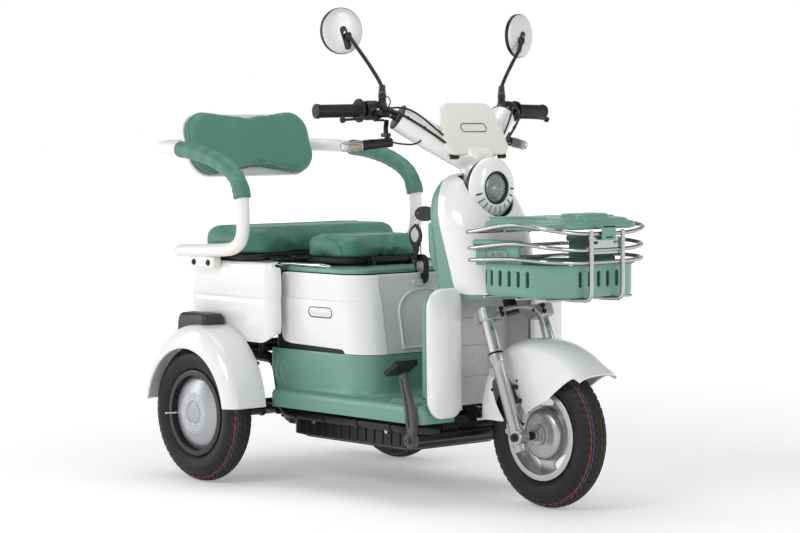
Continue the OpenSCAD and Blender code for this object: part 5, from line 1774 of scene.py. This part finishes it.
def indicators():
    inner, outer = np.array([622.0, 205, 921]), np.array([558.0, 325, 908])
    bodies, lenses, ribs = [], [], []
    way = unit(outer - inner)
    length = np.linalg.norm(outer - inner)
    for s in (-1, 1):
        flip = np.array([1, s, 1])
        bodies.append(lathe([(0, 0), (8, 0), (11, 1.6), (12, 5), (12, 0.34 * length), (13, 0.36 * length),
                             (13, 0.56 * length), (11, 0.58 * length), (0, 0.58 * length)], inner * flip, way * flip, 40))
        bodies.append(tube(soft([(614, s * 214, 925), (604, s * 214, 950), (600, s * 206, 976)], 3), 6.2, 18, 1.0))
        bodies.append(prism(rounded(-14, 14, -8, 8, 6, 5), "z", 0, 10, 1.6).moved((604, s * 212, 934)))
        lenses.append(lathe([(0, 0.585 * length), (12, 0.585 * length), (12.2, 0.9 * length), (11.4, 0.96 * length),
                             (8, 0.99 * length), (0, length)], inner * flip, way * flip, 40))
        for k in range(11):
            h = (0.61 + 0.033 * k) * length
            ribs.append(lathe([(11.6, h - 0.9), (12.7, h), (11.6, h + 0.9)], inner * flip, way * flip, 32,
                              closed=True))
    piece("indicator_bodies", join(bodies), ["black_plastic"], "steering", ["indicators"])
    piece("indicator_glass", join(lenses) + join(ribs), ["clear_lens"], "steering", ["indicator_lenses"])
    bulbs = []
    for s in (-1, 1):
        at = (inner + way * 0.6 * length) * np.array([1, s, 1])
        bulbs.append(lathe([(0, 0), (7, 0), (7.4, 4), (6, 30), (3, 36), (0, 37)], at, way * np.array([1, s, 1]), 24))
    piece("indicator_bulbs", join(bulbs), ["amber_lens"], "steering", ())


def cable_runs():
    runs = []
    for s in (-1, 1):
        runs.append(tube(soft([(616.5, s * 232, 1004), (642, s * 222, 1004), (678, s * 190, 978), (706, s * 130, 936),
                               (722, s * 84, 902), (716, s * 62, 884)], 4), 3.5, 14))
        runs.append(tube(soft([(600, s * 226, 990), (630, s * 214, 1012), (668, s * 176, 1004), (700, s * 122, 952),
                               (716, s * 78, 914), (712, s * 58, 892)], 4), 2.6, 12))
        runs.append(tube(soft([(612, s * 212, 924), (640, s * 196, 916), (664, s * 160, 914), (668, s * 138, 934),
                               (660, s * 128, 944)], 4), 2.2, 10))
        runs.append(lathe([(3.6, 0), (5.4, 0), (5.8, 1), (5.4, 15), (4.4, 18), (3.6, 18)], (614, s * 233, 1004),
                          (1, -0.25 * s, 0), 20, closed=True))
    piece("control_cables", join(runs), ["black_plastic"], "steering", ["cables"])
    bands = []
    for s in (-1, 1):
        for x, y, z in ((693, 158, 957), (672, 196, 983)):
            bands.append(lathe([(3.7, -2), (4.6, -2), (4.6, 2), (3.7, 2)], (x, s * y, z), (0.5, -0.75 * s, -0.4), 16,
                               closed=True))
    piece("cable_ties", join(bands), ["grip_rubber"], "steering", ())


def mirror(side, tag):
    flip = np.array([1, side, 1])
    path = resample(soft([(589, 211, 1016), (589, 211, 1052), (588, 214, 1072), (582, 258, 1130), (579, 284, 1160),
                          (572, 306, 1190)], 4), 60) * flip
    piece("mirror_arm_" + tag, tube(path, 4.9, 20, 1.0), ["black_steel"], "mirror_arm_" + tag,
          ["mirror_stem_" + tag])
    at = np.array([552, 314, 1204]) * flip
    turn = math.radians(11 * side)
    facing = (math.cos(turn), math.sin(turn), 0)
    body = "mirror_" + tag
    shell = lathe([(56, -2), (58.4, 0), (58.2, 2), (55.6, 4.4), (50, 6.6), (42, 8.2), (30, 9.4), (16, 9.9), (0, 10)],
                  at, facing, 96)
    piece("mirror_shell_" + tag, shell, ["mirror_back"], body, ["mirror_head_" + tag])
    rim = lathe([(54, -7.4), (57.6, -8), (59, -7), (59.2, -2), (59, 1.4), (57.6, 2.8), (55.4, 2.2), (54, -2)], at,
                facing, 96, closed=True)
    piece("mirror_rim_" + tag, rim, ["black_plastic"], body, ())
    glass = lathe([(0, -5.6), (30, -5.5), (54.6, -5.0), (54.6, -3.6), (0, -3.6)], at, facing, 96)
    piece("mirror_glass_" + tag, glass, ["mirror_glass"], body, ())
    r = np.eye(4)
    x_way = np.array(facing)
    down = unit(np.array([0, -0.35 * side, -1.0]))
    y_way = np.cross(down, x_way)
    r[:3, :3] = np.stack([x_way, down, y_way], axis=1)
    r[:3, 3] = at
    pad = prism(rounded(-12, 50, -9.5, 9.5, 9.2, 8), "x", 7.4, 12.6, 2.0).through(
        r @ np.array(Matrix.Translation((0, 0, 0))))
    screw = bolt(at + np.array(facing) * 12.0 + down * 4, facing, 3.4, 2.4)
    socket = lathe([(0, -9), (7, -8.6), (9.4, -6), (10, 0), (9.4, 6), (7, 9), (5.2, 10.6), (0, 10.6)],
                   np.array([567, 306, 1190.0]) * flip, unit(np.array([0.05, 0.2 * side, 1.0])), 28)
    piece("mirror_pad_" + tag, pad + socket, ["black_plastic"], body, ())
    piece("mirror_screw_" + tag, screw, ["spring_steel"], body, ())


stem_cover()
handlebar()
grips()
switchgear()
levers()
indicators()
cable_runs()
mirror(-1, "right")
mirror(1, "left")


# ------------------------------------------------------------- frame and running gear
def weld_bead(centre, axis, radius, size=3.2):
    """Rippled bead round a tube end."""
    r = basis(axis)
    path = []
    for a in np.linspace(0, TAU, 61):
        q = radius + 0.5 * math.sin(a * 22)
        path.append(np.array([q * math.cos(a), q * math.sin(a), 0]) @ r.T + np.array(centre, float))
    return tube(path[:-1], size, 8, closed=True)


def main_frame():
    parts = []
    for s in (-1, 1):
        rail = bend([(735, s * 142, 188), (640, s * 190, 188), (150, s * 190, 188), (118, s * 190, 330),
                     (-165, s * 190, 345)], 46, 10)
        parts.append(tube(rail, 14, 24, 2.0))
        for x in (-110, 60):
            parts.append(tube([(x, s * 190, 340), (x, s * 190, 572)], 10.5, 20))
            parts.append(weld_bead((x, s * 190, 352), (0, 0, 1), 11.5))
            parts.append(weld_bead((x, s * 190, 562), (0, 0, 1), 11.5))
        parts.append(tube(bend([(-150, s * 190, 572), (104, s * 190, 572), (140, s * 190, 597)], 12), 11.0, 20, 1.0))
        parts.append(tube([(420, s * 150, 188), (420, s * 150, 560)], 11, 20, 1.0))
        parts.append(weld_bead((420, s * 150, 200), (0, 0, 1), 12))
        parts.append(lathe([(0, 330), (22, 330), (23, 331), (23, 334), (22, 335), (0, 335)], (-45, s * 150, 0),
                           (0, 0, 1), 40))
        parts.append(tube([(735, s * 100, 188), (755, s * 100, 172)], 8, 16, 1.0))
        gusset = np.array([(112, 322), (128, 300), (150, 335), (60, 352)])
        parts.append(prism(gusset, "y", s * 190 - 4, s * 190 + 4, 1.0))
    for x, z, half, r in ((735, 188, 146, 12.5), (420, 188, 190, 12), (420, 556, 152, 10), (130, 190, 196, 10),
                          (-45, 346, 190, 12), (-160, 346, 190, 12), (140, 597, 222, 10)):
        parts.append(tube([(x, -half, z), (x, half, z)], r, 24, 1.5))
    parts.append(tube(bend([(735, 0, 188), (684, 0, 230), (684, 0, 540), (768, 0, 602)], 50, 10), 19, 28, 1.0))
    parts.append(lathe([(18.5, 58), (27, 58), (28.5, 60), (28.5, 78), (27, 80), (27, 270), (28.5, 272), (28.5, 288),
                        (27, 290), (18.5, 290)], YOKE, LEAN, 48, closed=True))
    parts.append(tube([(755, -276, 172), (755, 240, 172)], 10, 24, 1.0))
    piece("frame_tubes", join(parts), ["black_steel"], "chassis", ["main_frame"], angle=50)
    wires = []
    for s in (-1, 1):
        wires.append(tube(soft([(640, s * 176, 205), (520, s * 168, 214), (380, s * 172, 212), (240, s * 170, 216),
                                (150, s * 172, 232)], 4), 5.5, 12))
        for x in (600, 470, 330, 210):
            wires.append(lathe([(14.3, -4), (16.2, -4), (16.2, 4), (14.3, 4)], (x, s * 190, 188), (1, 0, 0), 28,
                               closed=True))
    piece("frame_loom", join(wires), ["black_plastic"], "chassis", ())


def under_tray():
    levels = [(200, 606, 136, 14, 123), (186, 619, 149, 18, 122), (185, 620, 150, 18, 124), (178, 628, 160, 20, 128),
              (166, 639, 171, 22, 131), (165, 640, 172, 22, 135), (165, 640, 172, 22, 198), (163, 642, 174, 23, 200),
              (163, 642, 174, 23, 204), (165, 640, 172, 22, 205), (169, 636, 168, 18, 204), (169, 636, 168, 18, 140)]
    ribs = []
    for s in (-1, 1):
        for x in range(196, 620, 34):
            ribs.append(box(x, x + 5, s * 173.4 - 1.8, s * 173.4 + 1.8, 136, 196, 1.0))
    for x in range(220, 600, 52):
        ribs.append(box(x, x + 6, -132, 132, 121, 125, 1.0))
    piece("under_tray_shell", stacked(levels), ["black_plastic"], "chassis", ["under_tray"],
          angle=45)
    piece("under_tray_ribs", join(ribs), ["black_plastic"], "chassis", ())
    heads = []
    for s in (-1, 1):
        for x in (262, 560):
            heads.append(hexagon((x, s * 174, 170), (0, s, 0), 7.0, 6.0))
    piece("under_tray_bolts", join(heads), ["spring_steel"], "chassis", ())


def axle_unit():
    parts = [lathe([(0, -290), (20, -290), (22, -288), (22, -60), (26, -56), (40, -50), (54, -44), (58, -38), (58, 38),
                    (54, 44), (40, 50), (26, 56), (22, 60), (22, 288), (20, 290), (0, 290)], (0, 0, WHEEL_Z),
                   (0, 1, 0), 72)]
    parts.append(lathe([(0, 34), (44, 34), (46, 37), (46, 124), (44, 128), (38, 130), (0, 130)], (54, 0, WHEEL_Z),
                       (0, 1, 0), 64))
    for k in range(9):
        h = 48 + 8.4 * k
        parts.append(lathe([(45.5, h - 1.4), (49, h - 1), (49, h + 1), (45.5, h + 1.4)], (54, 0, WHEEL_Z), (0, 1, 0),
                           64, closed=True))
    for k in range(8):
        a = k * TAU / 8
        for s in (-1, 1):
            parts.append(hexagon((51 * math.cos(a), s * 44, WHEEL_Z + 51 * math.sin(a)), (0, s, 0), 5.0, 5.0))
    parts.append(lathe([(10.1, -168), (15, -168), (16, -167), (16, 167), (15, 168), (10.1, 168)], (130, 0, 190),
                       (0, 1, 0), 36, closed=True))
    for s in (-1, 1):
        arm = bend([(118, s * 150, 190), (0, s * 150, 187), (-45, s * 150, 193)], 30)
        parts.append(tube(arm, 12.5, 20, 2.0))
        parts.append(lathe([(0, 184), (12, 184), (12, 205), (26, 205), (27, 206), (27, 210), (26, 211), (7, 211),
                            (7, 257), (6, 258), (0, 258)], (-45, s * 150, 0), (0, 0, 1), 40))
        parts.append(lathe([(0, 290), (58, 290), (60, 292), (60, 308), (58, 311), (0, 311)], (0, 0, WHEEL_Z),
                           (0, s, 0), 72))
        parts.append(lathe([(0, 300), (10, 300), (10, 368), (0, 368)], (0, 0, WHEEL_Z), (0, s, 0), 24))
        parts.append(weld_bead((0, s * 150, WHEEL_Z), (0, 1, 0), 23.0))
    piece("axle_housing", join(parts), ["black_steel"], "axle_unit", ["axle_carrier"], angle=45)


def springs():
    """Coil springs on the axle unit's shock posts."""
    turns, low, high, travel = 6.5, 214.0, 327.0, 43.0
    made = []
    for s in (-1, 1):
        path = []
        for t in np.linspace(0, 1, 260):
            a = turns * TAU * t
            path.append((-45 + 21.2 * math.cos(a), s * 150 + 21.2 * math.sin(a), low + (high - low) * t))
        made.append(tube(path, 3.6, 12, 1.2))
    obj = piece("coil_springs", join(made), ["spring_steel"], "axle_unit", ["shock_springs"],
                angle=60)
    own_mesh(obj)


def pedal():
    hub = lathe([(10.2, -274), (17, -274), (18, -273), (18, -253), (17, -252), (10.2, -252)], (755, 0, 172),
                (0, 1, 0), 40, closed=True)
    outline = np.vstack([soft([(743, 182), (742, 214), (738, 250), (726, 294), (715, 338)], 3),
                         soft([(734, 342), (748, 300), (764, 256), (774, 216), (768, 182)], 3)])[::-1]
    arm = prism(outline, "y", -272, -256, 2.4, 4)
    groove = prism(np.vstack([soft([(752, 206), (748, 250), (736, 294), (724, 326)], 3),
                              soft([(728, 327), (742, 295), (756, 251), (763, 206)], 3)])[::-1], "y", -280, -269.5, 0.2)
    piece("pedal_arm", arm, ["pedal_steel"], "pedal", ["brake_pedal"], cuts=[groove], bevel=0.5)
    lean = Matrix.Translation((718, -264, 352)) @ Matrix.Rotation(math.radians(-33), 4, "Y")
    pad = [prism(rounded(-30, 30, -36, 36, 7, 6), "z", -6, 3, 2.0)]
    for k in range(6):
        x = -25 + 10 * k
        pad.append(prism(rounded(x - 2.4, x + 2.4, -32, 32, 2.3, 4), "z", 2, 8, 1.2))
    pad.append(prism(rounded(-30, 30, -36, -32.5, 1.4, 3), "z", 2, 7.4, 0.8))
    pad.append(prism(rounded(-30, 30, 32.5, 36, 1.4, 3), "z", 2, 7.4, 0.8))
    piece("pedal_pad", join(pad).through(lean), ["grip_rubber"], "pedal", ())
    ends = [bolt((755, -276.4, 172), (0, -1, 0), 8.0, 5.0), weld_bead((755, -264, 172), (0, 1, 0), 18.4, 1.6)]
    piece("pedal_boss", hub + join(ends), ["pedal_steel"], "pedal", ())


# --------------------------------------------------------------------------- keys
def keys():
    bow = [(566, 729), (560, 741), (540, 748), (512, 751), (490, 746), (478, 735), (478, 722), (492, 712), (516, 709),
           (542, 714), (560, 721)]
    ring = soft(np.vstack([bow, bow[:1]]), 3)[:-1]
    head = prism(ring, "y", -4.2, 4.2, 2.0, 4)
    hole = lathe([(0, -10), (4.5, -10), (4.5, 10), (0, 10)], (489, 0, 731), (0, 1, 0), 24)
    piece("key_bow", head, ["black_plastic"], "ignition_key", ["key"], cuts=[hole], bevel=0.6)
    blade = box(556, 639, -1.6, 1.6, 726, 740, 0.5)
    collar = lathe([(0, 560), (7.6, 560), (8, 562), (6, 586), (5.6, 611), (0, 611)], (0, 0, 735), (1, 0, 0), 20)
    piece("key_blade", blade + collar, ["chrome_steel"], "ignition_key", ())
    loop = []
    for a in np.linspace(0, TAU, 65)[:-1]:
        loop.append((486 + 14 * math.cos(a), 3.0 * math.sin(a * 2), 716 + 15 * math.sin(a)))
    piece("key_ring", tube(loop, 1.4, 10, closed=True), ["chrome_steel"], "chassis", ())
    spare = soft([(487, 703), (503, 694), (513, 678), (510, 656), (497, 640), (494, 606), (488, 598), (482, 606),
                  (478, 640), (465, 656), (461, 678), (471, 694), (487, 703)], 3)[:-1]
    piece("spare_key", prism(spare[::-1], "y", -10.5, -4.5, 1.8, 4), ["black_plastic"], "chassis", ())
    inner = soft([(487, 694), (500, 685), (504, 672), (497, 658), (487, 652), (477, 658), (470, 672), (474, 685),
                  (487, 694)], 3)[:-1]
    piece("spare_key_face", prism(inner[::-1], "y", -11.4, -9.6, 0.8), ["cast_alloy"], "chassis", ())
    strap = tube(soft([(488, 2, 703), (490, 4, 674), (493, 5, 646), (495, 5, 618)], 3), 1.8, 8)
    fob = rounded(470, 521, 543, 622, 20, 10)
    piece("key_fob", prism(fob, "y", 0.5, 10.5, 3.4, 5), ["grip_rubber"], "chassis", ())
    label = [prism(rounded(482, 509, 572, 604, 9, 8), "y", -0.6, 1.0, 0.6),
             prism(rounded(482, 509, 572, 604, 9, 8), "y", 10.0, 11.6, 0.6)]
    piece("fob_label", join(label), ["cast_alloy"], "chassis", ())
    piece("fob_strap", strap, ["chrome_steel"], "chassis", ())


main_frame()
under_tray()
axle_unit()
springs()
pedal()
keys()


# ------------------------------------------------------- floor, light and camera
VIEW_AZIMUTH = math.radians(48.69)
VIEW_ELEVATION = math.radians(3.30)
VIEW_ROLL = math.radians(-0.26)
VIEW_DISTANCE = 6.620
VIEW_TARGET = np.array([-0.025, 0.0, 0.586])


def floor():
    m, tree, bsdf, place = nodes_of("studio_floor")
    tone = two_tone(tree, noise(tree, place, 0.6), (0.90, 0.90, 0.895), (0.91, 0.91, 0.91))
    tree.links.new(tone, bsdf.inputs["Base Color"])
    bsdf.inputs["Roughness"].default_value = 0.75
    bsdf.inputs["Specular IOR Level"].default_value = 0.2
    bsdf.inputs["Emission Color"].default_value = (1, 1, 1, 1)
    apart = tree.nodes.new("ShaderNodeVectorMath")
    apart.operation = "LENGTH"
    tree.links.new(place, apart.inputs[0])
    glow = tree.nodes.new("ShaderNodeMapRange")
    glow.inputs["From Min"].default_value = 1.2
    glow.inputs["From Max"].default_value = 5.5
    glow.inputs["To Min"].default_value = 0.24
    glow.inputs["To Max"].default_value = 0.86
    tree.links.new(apart.outputs["Value"], glow.inputs["Value"])
    tree.links.new(glow.outputs["Result"], bsdf.inputs["Emission Strength"])
    mesh = bpy.data.meshes.new("floor")
    r = 60.0
    mesh.from_pydata([(-r, -r, 0), (r, -r, 0), (r, r, 0), (-r, r, 0)], [], [(0, 1, 2, 3)])
    mesh.materials.append(m)
    obj = bpy.data.objects.new("floor", mesh)
    bpy.context.scene.collection.objects.link(obj)


def area_light(name, place, target, width, height, power, colour=(1, 1, 1)):
    data = bpy.data.lights.new(name, "AREA")
    data.shape = "RECTANGLE"
    data.size, data.size_y = width, height
    data.energy = power
    data.color = colour
    obj = bpy.data.objects.new(name, data)
    obj.location = place
    obj.rotation_euler = (Vector(target) - Vector(place)).to_track_quat("-Z", "Y").to_euler()
    bpy.context.scene.collection.objects.link(obj)


def lights():
    """Pale sky, white at the horizon and dimmer overhead, with large soft boxes."""
    world = bpy.data.worlds.new("studio")
    bpy.context.scene.world = world
    world.use_nodes = True
    tree = world.node_tree
    back = tree.nodes["Background"]
    back.inputs["Strength"].default_value = 1.0
    place = tree.nodes.new("ShaderNodeTexCoord").outputs["Generated"]
    split = tree.nodes.new("ShaderNodeSeparateXYZ")
    tree.links.new(place, split.inputs["Vector"])
    ramp = tree.nodes.new("ShaderNodeValToRGB")
    ramp.color_ramp.elements[0].position = 0.16
    ramp.color_ramp.elements[0].color = (1.0, 1.0, 1.0, 1)
    ramp.color_ramp.elements[1].position = 0.5
    ramp.color_ramp.elements[1].color = (0.26, 0.265, 0.27, 1)
    tree.links.new(split.outputs["Z"], ramp.inputs["Fac"])
    tree.links.new(ramp.outputs["Color"], back.inputs["Color"])
    area_light("key_light", (0.9, -4.0, 3.0), (0.1, 0, 0.5), 2.4, 1.4, 62)
    area_light("front_light", (4.4, 1.2, 2.0), (0.4, 0, 0.6), 0.9, 2.4, 30)
    area_light("top_light", (-0.2, 0.2, 4.0), (0, 0, 0.5), 2.6, 2.6, 52)
    area_light("rear_light", (-3.2, -2.6, 1.7), (-0.4, 0, 0.6), 0.9, 2.4, 26)


def camera():
    back = np.array([math.sin(VIEW_AZIMUTH) * math.cos(VIEW_ELEVATION),
                     -math.cos(VIEW_AZIMUTH) * math.cos(VIEW_ELEVATION), math.sin(VIEW_ELEVATION)])
    right = unit(np.cross(-back, [0, 0, 1.0]))
    up = np.cross(right, -back)
    turned_right = math.cos(VIEW_ROLL) * right + math.sin(VIEW_ROLL) * up
    turned_up = -math.sin(VIEW_ROLL) * right + math.cos(VIEW_ROLL) * up
    data = bpy.data.cameras.new("camera")
    data.lens = 111.15
    data.sensor_width = 36.0
    data.clip_end = 200.0
    obj = bpy.data.objects.new("camera", data)
    bpy.context.scene.collection.objects.link(obj)
    pose = np.eye(4)
    pose[:3, 0], pose[:3, 1], pose[:3, 2] = turned_right, turned_up, back
    pose[:3, 3] = VIEW_TARGET + back * VIEW_DISTANCE
    obj.matrix_world = Matrix(pose.tolist())
    bpy.context.scene.camera = obj


bpy.context.scene.view_settings.view_transform = "Standard"
floor()
lights()
camera()
